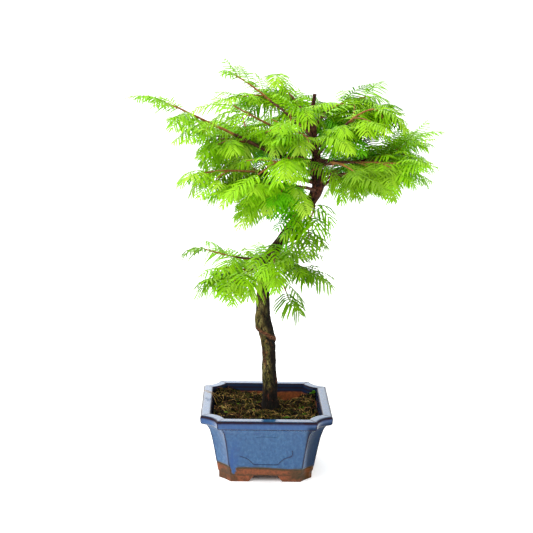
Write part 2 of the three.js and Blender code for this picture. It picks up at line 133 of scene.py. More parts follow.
def noise(points: Points, size: float | Triple, seed: int) -> Points:
    """Smooth value from -1 to 1 that changes over about size.

    Args:
        points: Places, three numbers to a row.
        size: Length of one swell, or one length for each axis.
        seed: Another seed gives another pattern.

    Returns:
        One value a row.
    """
    scaled = points / np.asarray(size, float)
    low = np.floor(scaled)
    part = scaled - low
    ease = part * part * (3 - 2 * part)
    value = np.zeros(points.shape[:-1])
    for dx in (0, 1):
        for dy in (0, 1):
            for dz in (0, 1):
                weight = np.ones(points.shape[:-1])
                for axis, step in enumerate((dx, dy, dz)):
                    weight = weight * (ease[..., axis] if step else 1 - ease[..., axis])
                value += weight * lattice(low + np.array([dx, dy, dz]), seed)
    return 2 * value - 1


def rough(points: Points, size: float | Triple, seed: int, layers: int = 3) -> Points:
    """Noise with finer layers on it, from about -1 to 1.

    Args:
        points: Places, three numbers to a row.
        size: Length of one swell of the coarsest layer, or one length for each axis.
        seed: Another seed gives another pattern.
        layers: Number of layers, each half as coarse and half as strong as the one before.

    Returns:
        One value a row.
    """
    total = np.zeros(points.shape[:-1])
    scale = np.asarray(size, float)
    for layer in range(layers):
        total += noise(points, scale / 2**layer, seed + 17 * layer) / 2**layer
    return total / 1.5


def smooth_step(low: float, high: float, value: Points) -> Points:
    """Eases from 0 at low to 1 at high."""
    share = np.clip((value - low) / (high - low), 0, 1)
    return share * share * (3 - 2 * share)


def unit(vectors: Points) -> Points:
    """Vectors of length one."""
    return vectors / np.linalg.norm(vectors, axis=-1, keepdims=True)


def quarter_turns(turn: int) -> tuple[int, int]:
    """Cosine and sine of a number of quarter turns."""
    return round(math.cos(turn * math.pi / 2)), round(math.sin(turn * math.pi / 2))


def at_level(flat: Points, height: float) -> Points:
    """Flat places, two numbers to a row, raised to one height."""
    return np.concatenate([flat, np.full((len(flat), 1), height)], 1)


def lengths_along(line: Points) -> Points:
    """Distance of each point of a line from its first one, along the line."""
    return np.concatenate([[0], np.cumsum(np.linalg.norm(np.diff(line, axis=0), axis=1))])


def read_off(line: Points, steps: Points, places: float | Points) -> Points:
    """Columns of a line at other distances along it, straight between its points."""
    return np.stack([np.interp(places, steps, column) for column in line.T], -1)


# ------------------------ meshes
def placed(name: str, data: bpy.types.ID) -> bpy.types.Object:
    """Puts an object into the scene.

    Args:
        name: Its name.
        data: Its mesh, light or camera.

    Returns:
        The object.
    """
    made = bpy.data.objects.new(name, data)
    bpy.context.scene.collection.objects.link(made)
    return made


@dataclass
class Skin:
    """Points, quads and triangles of one joined piece, with values for its points where it has any."""

    points: list[Points] = field(default_factory=list)
    quads: list[Points] = field(default_factory=list)
    triangles: list[Points] = field(default_factory=list)
    values: dict[str, list[Points]] = field(default_factory=dict)
    count: int = 0

    def add(self, points: Points, quads: Points | None = None, triangles: Points | None = None,
            **values: Points) -> None:
        """Adds a patch, its faces counted from its own first point.

        Args:
            points: Places in millimetres, three numbers to a row.
            quads: Four corners to a row.
            triangles: Three corners to a row.
            values: Named numbers, one for each point.
        """
        if quads is not None:
            self.quads.append(np.asarray(quads) + self.count)
        if triangles is not None:
            self.triangles.append(np.asarray(triangles) + self.count)
        for name, numbers in values.items():
            self.values.setdefault(name, []).append(numbers)
        self.points.append(points)
        self.count += len(points)

    def made(self, name: str, place: Points) -> bpy.types.Object:
        """One mesh object of everything gathered.

        Args:
            name: The piece's name.
            place: The middle of the pot in the frame, in metres.

        Returns:
            The object, linked into the scene and smooth.
        """
        rows = [(block, 4) for block in self.quads] + [(block, 3) for block in self.triangles]
        corners = np.concatenate([block.ravel() for block, _ in rows]).astype(np.int32)
        totals = np.concatenate([np.full(len(block), sides) for block, sides in rows])
        mesh = bpy.data.meshes.new(name)
        mesh.vertices.add(self.count)
        spots = np.concatenate(self.points) * MM + place
        mesh.vertices.foreach_set("co", spots.astype(np.float32).ravel())
        mesh.loops.add(len(corners))
        mesh.loops.foreach_set("vertex_index", corners)
        mesh.polygons.add(len(totals))
        starts = np.concatenate([[0], np.cumsum(totals)[:-1]]).astype(np.int32)
        mesh.polygons.foreach_set("loop_start", starts)
        mesh.update(calc_edges=True)
        mesh.validate()
        for key, blocks in self.values.items():
            attribute = mesh.attributes.new(key, "FLOAT", "POINT")
            attribute.data.foreach_set("value", np.concatenate(blocks).astype(np.float32))
        mesh.shade_smooth()
        return placed(name, mesh)


def grid_quads(rows: int, columns: int) -> Points:
    """Quads over closed rows of points, facing out where rows go up and columns go anticlockwise.

    Args:
        rows: Number of rows.
        columns: Points in a row.

    Returns:
        Four corners to a row.
    """
    r, c = np.meshgrid(np.arange(rows - 1), np.arange(columns), indexing="ij")
    after = (c + 1) % columns
    low, high = r * columns, (r + 1) * columns
    return np.stack([low + c, low + after, high + after, high + c], -1).reshape(-1, 4)


def fan(ring: int, centre: int, first: int, turned: bool) -> Points:
    """Triangles from a ring of points to a centre point.

    Args:
        ring: Points in the ring.
        centre: Number of the centre point.
        first: Number of the ring's first point.
        turned: Whether the triangles face down where the ring goes anticlockwise.

    Returns:
        Three corners to a row.
    """
    k = np.arange(ring)
    edge = [first + (k + 1) % ring, first + k] if turned else [first + k, first + (k + 1) % ring]
    return np.stack([*edge, np.full(ring, centre)], -1)


def sweep(path: Points, radius: Points, sides: int) -> Points:
    """Rings of points round a path, without twist.

    Args:
        path: Places along it, three numbers to a row.
        radius: One number for each place, or one for each place and side.
        sides: Points in a ring.

    Returns:
        Array of places, sides and coordinates.
    """
    ahead = unit(np.gradient(path, axis=0))
    across = np.empty_like(path)
    start = np.array([1.0, 0, 0]) if abs(ahead[0, 0]) < 0.9 else np.array([0, 1.0, 0])
    for k, way in enumerate(ahead):
        start = start - way * (start @ way)
        start = start / np.linalg.norm(start)
        across[k] = start
    third = np.cross(ahead, across)
    angle = 2 * np.pi * np.arange(sides) / sides
    out = across[:, None] * np.cos(angle)[None, :, None] + third[:, None] * np.sin(angle)[None, :, None]
    wide = radius[:, None] if radius.ndim == 1 else radius
    return path[:, None] + out * wide[..., None]


def add_rings(skin: Skin, rings: Points, centres: Points, **values: Points) -> None:
    """Adds rings joined each to the next, with the first and the last closed by a fan to its centre.

    Args:
        skin: What they are added to.
        rings: Array of rings, sides and coordinates.
        centres: The two centres.
        values: Named numbers, one for each point of the rings and for each centre.
    """
    count, sides = rings.shape[:2]
    ends = [fan(sides, count * sides, 0, True), fan(sides, count * sides + 1, (count - 1) * sides, False)]
    points = np.concatenate([rings.reshape(-1, 3), centres])
    skin.add(points, grid_quads(count, sides), np.concatenate(ends), **values)


def add_tube(skin: Skin, path: Points, radius: Points, sides: int) -> None:
    """Adds a tube round a path, with both ends closed."""
    add_rings(skin, sweep(path, radius, sides), path[[0, -1]])


# ------------------------ finishes
def linear(colour: Colour) -> tuple[float, float, float, float]:
    """A display colour as the light it stands for.

    Args:
        colour: Red, green and blue from 0 to 255.

    Returns:
        Red, green, blue and full cover from 0 to 1.
    """
    shares = [value / 255 for value in colour]
    light = [s / 12.92 if s <= 0.04045 else ((s + 0.055) / 1.055) ** 2.4 for s in shares]
    return (*light, 1.0)


class Wiring:
    """A node tree, with short ways to add what is used here."""

    def __init__(self, tree: bpy.types.NodeTree) -> None:
        """Keeps the tree."""
        self.tree = tree

    def node(self, kind: str, **numbers: float | tuple[float, ...]) -> bpy.types.Node:
        """Adds a node.

        Args:
            kind: Its type, without the word that all types start with.
            numbers: Values of its sockets, named with _ for a space.

        Returns:
            The node.
        """
        made = self.tree.nodes.new(f"ShaderNode{kind}")
        self.fill(made, **numbers)
        return made

    @staticmethod
    def fill(node: bpy.types.Node, **numbers: float | tuple[float, ...]) -> None:
        """Sets a node's own sockets, named with _ for a space."""
        for name, number in numbers.items():
            node.inputs[name.replace("_", " ")].default_value = number

    def link(self, source: Socket, node: bpy.types.Node, socket: str | int) -> None:
        """Joins an output to a node's input."""
        self.tree.links.new(source, node.inputs[socket])

    def maths(self, kind: str, operation: str, *values: Socket | float | Triple) -> Socket:
        """One step of arithmetic that ends in a number.

        Args:
            kind: Math for numbers, or VectorMath for vectors.
            operation: Its name.
            values: What it works on.

        Returns:
            The result.
        """
        made = self.node(kind)
        made.operation = operation
        for place, value in enumerate(values):
            if isinstance(value, Socket):
                self.link(value, made, place)
            else:
                made.inputs[place].default_value = value
        return made.outputs["Value"]


class Recipe(Wiring):
    """A material in the making."""

    def __init__(self, name: str) -> None:
        """Starts a material with one shader.

        Args:
            name: The material's name.
        """
        self.material = bpy.data.materials.new(name)
        self.material.use_nodes = True
        super().__init__(self.material.node_tree)
        self.shader = self.tree.nodes["Principled BSDF"]
        self.places = self.node("TexCoord").outputs["Object"]

    def set(self, **numbers: float | tuple[float, ...]) -> None:
        """Sets the shader's own sockets, named with _ for a space."""
        self.fill(self.shader, **numbers)

    def paint(self, colour: Socket) -> None:
        """Gives the shader its colour."""
        self.link(colour, self.shader, "Base Color")

    def noise(self, scale: float, detail: float = 4.0, stretch: Triple = (1, 1, 1),
              warp: float = 0.0) -> Socket:
        """Noise over the object.

        Args:
            scale: Swells to a metre.
            detail: Number of finer layers.
            stretch: Factor on each axis.
            warp: How far the noise bends itself.

        Returns:
            The value, from 0 to 1.
        """
        mapping = self.node("Mapping", Scale=stretch)
        self.link(self.places, mapping, "Vector")
        made = self.node("TexNoise", Scale=scale, Detail=detail, Distortion=warp)
        self.link(mapping.outputs["Vector"], made, "Vector")
        return made.outputs["Fac"]

    def ramp(self, source: Socket, *stops: tuple[float, Colour]) -> Socket:
        """Colours along a value.

        Args:
            source: The value.
            stops: Places and their colours, in order.

        Returns:
            The colour.
        """
        made = self.node("ValToRGB")
        band = made.color_ramp
        while len(band.elements) < len(stops):
            band.elements.new(0.5)
        for element, (place, colour) in zip(band.elements, stops):
            element.position = place
            element.color = linear(colour)
        self.link(source, made, "Fac")
        return made.outputs["Color"]

    def value(self, source: Socket, low: float, high: float, to_low: float = 0.0,
              to_high: float = 1.0) -> Socket:
        """Maps a value to another range and stops at its ends.

        Args:
            source: The value.
            low: Where the range starts.
            high: Where it ends.
            to_low: What the start becomes.
            to_high: What the end becomes.

        Returns:
            The new value.
        """
        made = self.node("MapRange", From_Min=low, From_Max=high, To_Min=to_low, To_Max=to_high)
        self.link(source, made, "Value")
        return made.outputs["Result"]

    def mix(self, share: Socket, first: Socket | Colour, second: Socket | Colour) -> Socket:
        """Goes from one colour to another.

        Args:
            share: How far it goes, from 0 to 1.
            first: The colour at 0.
            second: The colour at 1.

        Returns:
            The colour.
        """
        made = self.node("Mix")
        made.data_type = "RGBA"
        self.link(share, made, "Factor")
        for socket, colour in ((6, first), (7, second)):
            if isinstance(colour, tuple):
                made.inputs[socket].default_value = linear(colour)
            else:
                self.link(colour, made, socket)
        return made.outputs[2]

    def painted(self, name: str) -> Socket:
        """Reads a value that the mesh holds at each point.

        Args:
            name: Its name.

        Returns:
            The value.
        """
        made = self.node("Attribute")
        made.attribute_name = name
        return made.outputs["Fac"]

    def bump(self, height: Socket, distance: float, strength: float = 1.0) -> None:
        """Gives the shader a relief.

        Args:
            height: The relief, from 0 to 1.
            distance: Its depth in metres.
            strength: Share of it that shows.
        """
        made = self.node("Bump", Distance=distance, Strength=strength)
        self.link(height, made, "Height")
        self.link(made.outputs["Normal"], self.shader, "Normal")


@dataclass(frozen=True)
class LeafFinish:
    """Plain green of needles, stalks or moss."""

    name: str
    colour: Colour
    roughness: float = 0.5
    specular: float = 0.18

    def material(self) -> bpy.types.Material:
        """Mixes the green, in one colour all over.

        Returns:
            The material.
        """
        recipe = Recipe(self.name)
        recipe.set(Base_Color=linear(self.colour), Roughness=self.roughness,
                   Specular_IOR_Level=self.specular)
        return recipe.material


@dataclass(frozen=True)
class GlazeFinish:
    """Blue glaze that breaks brown on edges and ends above bare red clay, with painted shade in the corner
    at the front right and all over the inside.
    """

    name: str = "blue_glaze_on_red_clay"
    deep: Colour = (20, 62, 109)
    blue: Colour = (34, 80, 123)
    milky: Colour = (56, 100, 140)
    run: Colour = (6, 62, 124)
    # painted shade: darker glaze in the corner at the front right, away from the light, and inside the pot
    painted_shade: Colour = (9, 32, 58)
    thin: Colour = (38, 20, 22)
    edge: Colour = (44, 40, 14)
    clay: Colour = (133, 72, 40)
    clay_dark: Colour = (96, 50, 26)
    clay_roughness: float = 0.85
    glaze_roughness: float = 0.11
    relief: float = 0.0006

    def material(self) -> bpy.types.Material:
        """Mixes the glaze and clay, which read the pot's marks from the mesh.

        Returns:
            The material.
        """
        recipe = Recipe(self.name)
        glazed, thin, edge, streak, painted_shade = (recipe.painted(name) for name in MARKS)
        clouds = recipe.ramp(recipe.noise(320, 6, (1, 1, 0.7), 0.5), (0.26, self.deep), (0.5, self.blue),
                             (0.76, self.milky))
        drift = recipe.value(recipe.noise(20, 3, (1, 1, 0.5)), 0.4, 0.75, 0, 0.5)
        clouds = recipe.mix(drift, clouds, self.deep)
        specks = recipe.value(recipe.noise(900, 2), 0.64, 0.74, 0, 0.5)
        glaze = recipe.mix(specks, clouds, self.deep)
        # the last marks add the bright run, the painted shade and the thin glaze
        for mark, colour in ((streak, self.run), (painted_shade, self.painted_shade), (thin, self.thin)):
            glaze = recipe.mix(mark, glaze, colour)
        clay = recipe.ramp(recipe.noise(420, 6), (0.3, self.clay_dark), (0.62, self.clay))
        clay = recipe.mix(recipe.value(recipe.noise(190, 7, warp=0.5), 0.5, 0.7, 0, 0.7), clay, self.edge)
        recipe.paint(recipe.mix(edge, recipe.mix(glazed, clay, glaze), self.edge))
        rough_share = recipe.value(glazed, 0, 1, self.clay_roughness, self.glaze_roughness)
        recipe.link(rough_share, recipe.shader, "Roughness")
        # thin glaze and the painted shade reflect less
        sheen = recipe.maths("Math", "MULTIPLY", recipe.value(thin, 0.15, 0.8, 0.5, 0.03),
                             recipe.value(painted_shade, 0.3, 0.9, 1, 0.18))
        recipe.link(sheen, recipe.shader, "Specular IOR Level")
        recipe.bump(recipe.noise(330, 5), self.relief, 0.35)
        return recipe.material


@dataclass(frozen=True)
class BarkFinish:
    """Fissured bark: light plates over dark cracks, with moss low down and red-brown wood higher up. Low
    down, the side towards the light is painted lighter and the other side darker, as painted light and
    shade.
    """

    name: str
    pale: Colour
    plate: Colour
    crack: Colour
    shaded_bark: Colour
    moss: Colour
    rust: Colour
    ridge: Colour
    upper: Colour
    upper_crack: Colour
    change: tuple[float, float] = (0.225, 0.285)
    relief: float = 0.0016

    def material(self) -> bpy.types.Material:
        """Mixes the bark, which reads the painted crack shade, the painted lit side and the ridge from the
        mesh and height from the frame.

        Returns:
            The material.
        """
        recipe = Recipe(self.name)
        height = recipe.node("SeparateXYZ")
        recipe.link(recipe.places, height, 0)
        grain = recipe.noise(620, 8, (1, 1, 0.4), 1.0)
        plates = recipe.noise(150, 5, (1, 1, 0.45), 0.8)
        tone = recipe.ramp(plates, (0.42, self.plate), (0.58, self.pale))
        moss = recipe.value(recipe.noise(80, 5, (1, 1, 0.6), 0.6), 0.44, 0.56, 0, 0.75)
        light = recipe.mix(moss, tone, self.moss)
        light = recipe.mix(recipe.value(grain, 0.5, 0.4), light, self.crack)
        # painted shade: the side away from the light gets these dark colours
        dark = recipe.ramp(grain, (0.44, self.crack), (0.62, self.shaded_bark))
        # painted light: the lit side gets the pale plates and moss
        low = recipe.mix(recipe.painted("lit_side"), dark, light)
        rust = recipe.value(recipe.noise(140, 4, (1, 1, 0.6), 0.5), 0.56, 0.64, 0, 0.7)
        rusty = recipe.maths("Math", "MULTIPLY", rust, recipe.value(grain, 0.4, 0.55))
        low = recipe.mix(rusty, low, self.rust)
        twisted = recipe.ramp(recipe.noise(420, 6, (1, 1, 2.0), 1.0), (0.42, self.shaded_bark), (0.56, self.ridge))
        low = recipe.mix(recipe.value(recipe.painted("ridge"), 0.25, 0.8), low, twisted)
        high = recipe.ramp(grain, (0.4, self.upper_crack), (0.6, self.upper))
        wood = recipe.mix(recipe.value(height.outputs["Z"], *self.change), low, high)
        # painted shade in the cracks and under the ridge
        recipe.paint(recipe.mix(recipe.painted("crack_shade"), wood, self.crack))
        recipe.set(Roughness=0.88, Specular_IOR_Level=0.2)
        recipe.bump(grain, self.relief)
        return recipe.material


@dataclass(frozen=True)
class TwigFinish:
    """Wood of boughs and shoots, mottled along the grain."""

    name: str
    dark: Colour
    light: Colour
    roughness: float = 0.7

    def material(self) -> bpy.types.Material:
        """Mixes the wood, mottled between its two colours.

        Returns:
            The material.
        """
        recipe = Recipe(self.name)
        recipe.paint(recipe.ramp(recipe.noise(320, 4), (0.32, self.dark), (0.68, self.light)))
        recipe.set(Roughness=self.roughness, Specular_IOR_Level=0.15)
        recipe.bump(recipe.noise(900, 3), 0.0003, 0.7)
        return recipe.material


@dataclass(frozen=True)
class EarthFinish:
    """Damp potting soil with moss over parts of it."""

    name: str = "mossy_soil"
    # near black of the painted shade in the pits
    dark: Colour = (2, 2, 1)
    brown: Colour = (20, 14, 8)
    bits: Colour = (58, 44, 25)
    moss: Colour = (28, 32, 8)
    relief: float = 0.004

    def material(self) -> bpy.types.Material:
        """Mixes the soil: brown with pale bits, moss in patches, and painted shade in the pits between the
        lumps.

        Returns:
            The material.
        """
        recipe = Recipe(self.name)
        lumps = recipe.noise(300, 9, warp=1.4)
        earth = recipe.ramp(lumps, (0.46, self.brown), (0.66, self.bits))
        patches = recipe.value(recipe.noise(120, 6, warp=0.6), 0.48, 0.58, 0, 0.75)
        ground = recipe.mix(patches, earth, self.moss)
        # painted shade: the low places of the relief are painted near black
        pits = recipe.value(lumps, 0.50, 0.58, 1, 0)
        recipe.paint(recipe.mix(pits, ground, self.dark))
        recipe.set(Roughness=0.95, Specular_IOR_Level=0.05)
        recipe.bump(lumps, self.relief)
        return recipe.material


# ------------------------ how a piece joins the frame
class Slot(Enum):
    """Kinds of material that the pieces are passed with."""

    POT = "glazed_pot"
    SOIL = "soil"
    BARK = "bark"
    NEEDLES = "needles"


def seat(piece: bpy.types.Object, material: bpy.types.Material, slot: Slot, nodes: list[str]) -> None:
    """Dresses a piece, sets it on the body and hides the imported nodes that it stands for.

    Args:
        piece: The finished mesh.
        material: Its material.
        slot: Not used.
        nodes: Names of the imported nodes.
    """
    piece.data.materials.append(material)
    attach(piece, BODY)
    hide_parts(*nodes)
    LOG.info("%s: %d faces, for %d nodes", piece.name, len(piece.data.polygons), len(nodes))


# ------------------------ pot
@dataclass
class Pot:
    """Square pot with scooped corners, four feet, a rolled lip and a moulded panel on each side."""

    place: Points
    # height, half width over the flats, corner cut, depth of the corner's scoop
    outside: Table = (
        (0, 55.3, 14.2, 0.6), (8.0, 55.5, 14.4, 0.7), (9.6, 56.6, 14.6, 0.8), (20, 58.4, 15.0, 1.0),
        (38, 61.4, 15.8, 1.2), (54, 64.4, 16.6, 1.6), (64, 67.2, 17.4, 2.0), (69.4, 70.2, 18.2, 2.6),
        (71.2, 75.0, 19.2, 3.6), (73.4, 77.0, 19.6, 4.0), (80.4, 77.6, 19.7, 4.0), (82.3, 76.0, 19.4, 4.0),
    )
    inside: Table = (
        (82.3, 66.2, 16.8, 2.6), (81.2, 65.2, 16.5, 2.4), (14, 50.0, 12.5, 0.8),
    )
    step: float = 0.9
    rounding: float = 0.8
    # rows of the profile, past the highest one, that still belong to the outside
    lip_rows: int = 6
    corner_steps: int = 20
    side_steps: int = 44
    # width of each gap between the feet on the ground and at its top, and the gap's height
    gap_ground: float = 40
    gap_top: float = 27.5
    gap_height: float = 8
    gap_reach: float = 80.0
    underground: float = 1.0
    # half width, corner cut and height of the hollow under the foot
    recess: Triple = (41, 11, 6)
    # height at which the glaze ends outside and inside
    glaze_foot: float = 18.3
    inner_glaze: float = 72.3
    # x, y, width and drop of each run below the glaze's end
    runs: Table = (
        (-38.1, -58, 3.0, 11.0), (38, 58, 2.6, 6.0), (58, -20, 2.8, 5.2), (-58, 24, 2.4, 4.0),
    )
    # height, half width, width and strength of each line of thin glaze round the lip and inside
    worn: Table = (
        (72.0, 75.8, 1.15, 0.95), (81.2, 77.1, 2.2, 1.16), (81.7, 65.8, 1.2, 0.95), (77.4, 64.4, 1.2, 0.98),
        (73.0, 63.4, 1.4, 0.98),
    )
    glaze_depth: float = 0.35
    # distance along a side and height: right half of a panel's tray, with its curl, and the line over it
    tray: Table = (
        (0.0, 22.9), (14.0, 22.9), (16.8, 26.6), (21.2, 30.9), (26.0, 32.8), (30.6, 34.4), (31.2, 38.0),
        (30.6, 42.4),
    )
    panel_top: Table = ((-13.5, 59.0), (-5.4, 60.0), (3.9, 60.1), (13.3, 58.9))
    tray_left: float = 1.04
    tray_line: float = 0.56
    top_line: float = 0.4

    def profile(self) -> Points:
        """Rows of height, half width, cut and scoop from the foot over the lip to the inside, rounded.

        Returns:
            Four numbers to a row.
        """
        rows = np.array(self.outside + self.inside, float)
        steps = lengths_along(rows[:, :2])
        places = np.linspace(0, steps[-1], int(steps[-1] / self.step))
        dense = read_off(rows, steps, places)
        reach = int(3 * self.rounding / self.step) + 1
        weights = np.exp(-((np.arange(-reach, reach + 1) * self.step / self.rounding) ** 2) / 2)
        weights /= weights.sum()
        padded = np.pad(dense, ((reach, reach), (0, 0)), mode="edge")
        soft = np.stack([np.convolve(padded[:, c], weights, "valid") for c in range(4)], -1)
        soft[0], soft[-1] = dense[0], dense[-1]
        return soft

    def outline(self, half: float, cut: float, scoop: float) -> Points:
        """The pot's outline at one height, anticlockwise from the corner at the front right.

        Args:
            half: Half width over the flats.
            cut: Length that each corner takes off a side.
            scoop: Depth of the corner's hollow.

        Returns:
            Two numbers to a row.
        """
        pull = half - cut / 2 - scoop * math.sqrt(2)
        t = np.linspace(0, 1, self.corner_steps + 1)[:, None]
        first, last = np.array([half, half - cut]), np.array([half - cut, half])
        corner = (1 - t) ** 2 * first + 2 * t * (1 - t) * pull + t**2 * last
        reach = half - cut
        ways = np.cos(np.pi * np.arange(1, self.side_steps) / self.side_steps)
        side = np.stack([reach * ways, np.full(len(ways), half)], -1)
        quarter = np.concatenate([corner, side])
        turns = map(quarter_turns, range(4))
        return np.concatenate([quarter @ np.array([[c, s], [-s, c]]) for c, s in turns])

    def glaze_edge(self, points: Points) -> Points:
        """Height at which the glaze ends on the outside, with its waves and runs.

        Args:
            points: Places on the pot.

        Returns:
            One height a place.
        """
        flat = points * FLAT
        edge = self.glaze_foot - 0.045 * flat[..., 0] + 0.8 * noise(flat, 30, 5) + 0.45 * noise(flat, 8, 6)
        for x, y, wide, drop in self.runs:
            apart = (flat[..., 0] - x) ** 2 + (flat[..., 1] - y) ** 2
            edge = edge - drop * np.exp(-((apart / wide**2) ** 2))
        return edge

    @staticmethod
    def browned(rings: Points, edge_line: Points) -> Points:
        """Share of brown on the outside: where the glaze ends; in the groove over the foot near the
        corners, as painted shade; and in stains, which spread further on the right, away from the light, as
        painted shade.

        Args:
            rings: Array of rings, sides and coordinates.
            edge_line: Height at which the glaze ends at each point.

        Returns:
            One share a point.
        """
        height = rings[..., 2]
        wide = 1.7 + 0.9 * noise(rings * FLAT, 5, 12)
        border = np.exp(-((height - edge_line + 0.9) / wide) ** 2) * 0.95
        corners = np.min(np.abs(np.abs(rings[..., :2]) - 50), axis=-1) < 10
        # painted shade in the groove over the foot, near the corners
        groove = np.exp(-((height - 8.6 - 0.5 * noise(rings, 9, 13)) / 0.6) ** 2)
        groove = groove * np.where(corners, 0.95, 0.0)
        # stains, spread further towards the right, the shaded side, as painted shade
        shade = smooth_step(0, 45, rings[..., 0])
        stain_and_shade = smooth_step(-0.5, 0.5, rough(rings, 8, 15) + 0.35 * shade)
        stain_and_shade = stain_and_shade * smooth_step(84, 100, np.abs(rings[..., :2]).sum(-1) + 12 * shade)
        return np.maximum(np.maximum(border, groove), 0.75 * stain_and_shade * (height < edge_line))

    def thinned(self, rows: Points, rings: Points, outer: Points) -> Points:
        """How thin the glaze is worn: on the edges of the corners, round the lip and inside.

        Args:
            rows: The profile.
            rings: Array of rings, sides and coordinates.
            outer: Whether each ring is on the outside.

        Returns:
            One share a point.
        """
        thin = np.zeros(rings.shape[:2])
        worn = 0.8 + 0.2 * noise(rings, 6, 31)
        for quarter in range(4):
            start = quarter * (self.corner_steps + self.side_steps)
            for column in (start, start + self.corner_steps):
                near = np.linalg.norm(rings[:, :, :2] - rings[:, column:column + 1, :2], axis=-1)
                thin = np.maximum(thin, np.exp(-((near / 1.2) ** 2)) * worn * outer)
        for level, half, wide, strength in self.worn:
            apart = ((rows[:, 0] - level) ** 2 + (rows[:, 1] - half) ** 2)[:, None]
            band = np.exp(-apart / wide**2) * strength
            thin = np.maximum(thin, band * (0.88 + 0.12 * noise(rings, 5, 33)))
        return np.clip(thin, 0, 1)

    @staticmethod
    def flowed(rings: Points, outer: Points) -> tuple[Points, Points]:
        """Where the glaze has run bright, and where the pot is painted darker as painted shade.

        Args:
            rings: Array of rings, sides and coordinates.
            outer: Whether each ring is on the outside.

        Returns:
            Share of the bright streak, at the front left and on the lip, and of the painted shade, in the
            corner at the front right, which faces away from the light. Inside, each has one value.
        """
        height = rings[..., 2]
        aside = (rings[..., 0] + 39) / 6.5
        run = np.exp(-(aside**2)) * (rings[..., 1] < -50) * smooth_step(66, 40, height)
        strands = 0.5 + 0.5 * noise(rings * np.array([1, 1, 0.12]), 2.2, 35)
        lip = 0.55 * smooth_step(72.5, 74.5, height) * smooth_step(81, 79.5, height)
        streak = np.where(outer, np.maximum(np.clip(run * (0.1 + strands), 0, 0.85), lip), 0.6)
        # painted shade: the corner at the front right, away from the light, and the whole inside are
        # painted darker
        scoop = smooth_step(43, 50, rings[..., 0]) * (rings[..., 1] < -44) * smooth_step(80, 74, height)
        return streak, np.where(outer, 0.9 * scoop, 0.92)

    def shell(self) -> tuple[Skin, Points, Points]:
        """The pot without its foot gaps.

        Returns:
            Its skin, its points, and for each point the marks that the glaze reads.
        """
        rows = self.profile()
        rings = np.stack([at_level(self.outline(*row[1:]), row[0]) for row in rows])
        outer = (np.arange(len(rows)) <= int(np.argmax(rows[:, 0])) + self.lip_rows)[:, None]
        edge_line = self.glaze_edge(rings)
        height = rings[..., 2]
        glaze = np.where(outer, smooth_step(-0.3, 0.3, height - edge_line),
                         smooth_step(-0.6, 0.6, height - self.inner_glaze - 0.8 * noise(rings, 12, 9)))
        thin = self.thinned(rows, rings, outer) * glaze
        border = np.clip(self.browned(rings, edge_line) * outer, 0, 1)
        marks = np.stack([glaze, thin, border, *self.flowed(rings, outer)], -1)
        out = unit(rings * FLAT)
        swell = self.glaze_depth * glaze * (0.8 + 0.4 * noise(rings, 16, 3)) * outer
        rings = rings + out * swell[..., None] + out * (0.25 * noise(rings, 24, 2))[..., None]
        skin = Skin()
        add_rings(skin, rings, rings[[0, -1]].mean(axis=1))
        return skin, rings.reshape(-1, 3), marks.reshape(-1, len(MARKS))

    def cutters(self) -> list[bpy.types.Object]:
        """The shapes that the four gaps and the hollow foot are cut with, from a little underground.

        Returns:
            The meshes, in the order in which they cut.
        """
        half, cut, height = self.recess
        slope = (self.gap_ground - self.gap_top) / 2 / self.gap_height
        low, high = self.gap_ground / 2 + slope * self.underground, self.gap_top / 2
        section = np.array([[-low, -self.underground], [low, -self.underground], [high, self.gap_height],
                            [-high, self.gap_height]])
        quads = np.array([[0, 1, 5, 4], [1, 2, 6, 5], [2, 3, 7, 6], [3, 0, 4, 7],
                          [3, 2, 1, 0], [4, 5, 6, 7]])
        made = []
        for across in (0, 1):
            ends = []
            for reach in (-self.gap_reach, self.gap_reach):
                ring = np.stack([np.full(4, reach), section[:, 0], section[:, 1]], -1)
                ends.append(ring if not across else ring[:, [1, 0, 2]] * np.array([-1, 1, 1]))
            skin = Skin()
            skin.add(np.concatenate(ends), quads)
            made.append(skin.made(f"cutter_{across}", self.place))
        skin = Skin()
        flat = self.outline(half, cut, 0.3)
        levels = (-self.underground, height)
        rings = np.stack([at_level(flat, z) for z in levels])
        add_rings(skin, rings, np.array([[0, 0, z] for z in levels]))
        made.append(skin.made("cutter_2", self.place))
        return made

    def cut_feet(self, pot: bpy.types.Object) -> None:
        """Cuts the hollow foot and the gaps out of the pot's mesh.

        Args:
            pot: The pot, whose mesh is replaced.
        """
        for cutter in self.cutters():
            modifier = pot.modifiers.new(cutter.name, "BOOLEAN")
            modifier.operation = "DIFFERENCE"
            modifier.solver = "EXACT"
            modifier.object = cutter
            graph = bpy.context.evaluated_depsgraph_get()
            carved = bpy.data.meshes.new_from_object(pot.evaluated_get(graph))
            pot.modifiers.clear()
            pot.data = carved
            bpy.data.objects.remove(cutter)

    def mark(self, pot: bpy.types.Object, points: Points, marks: Points) -> None:
        """Writes what the glaze reads onto the carved mesh, from the nearest point of the shell.

        Args:
            pot: The carved pot.
            points: The shell's points.
            marks: What each of them holds.
        """
        tree = kdtree.KDTree(len(points))
        for k, point in enumerate(points * MM + self.place):
            tree.insert(point, k)
        tree.balance()
        nearest = np.array([tree.find(v.co)[1] for v in pot.data.vertices])
        for k, name in enumerate(MARKS):
            attribute = pot.data.attributes.new(name, "FLOAT", "POINT")
            attribute.data.foreach_set("value", marks[nearest, k].astype(np.float32))
        pot.data.shade_smooth()
        pot.data.set_sharp_from_angle(angle=math.radians(38))

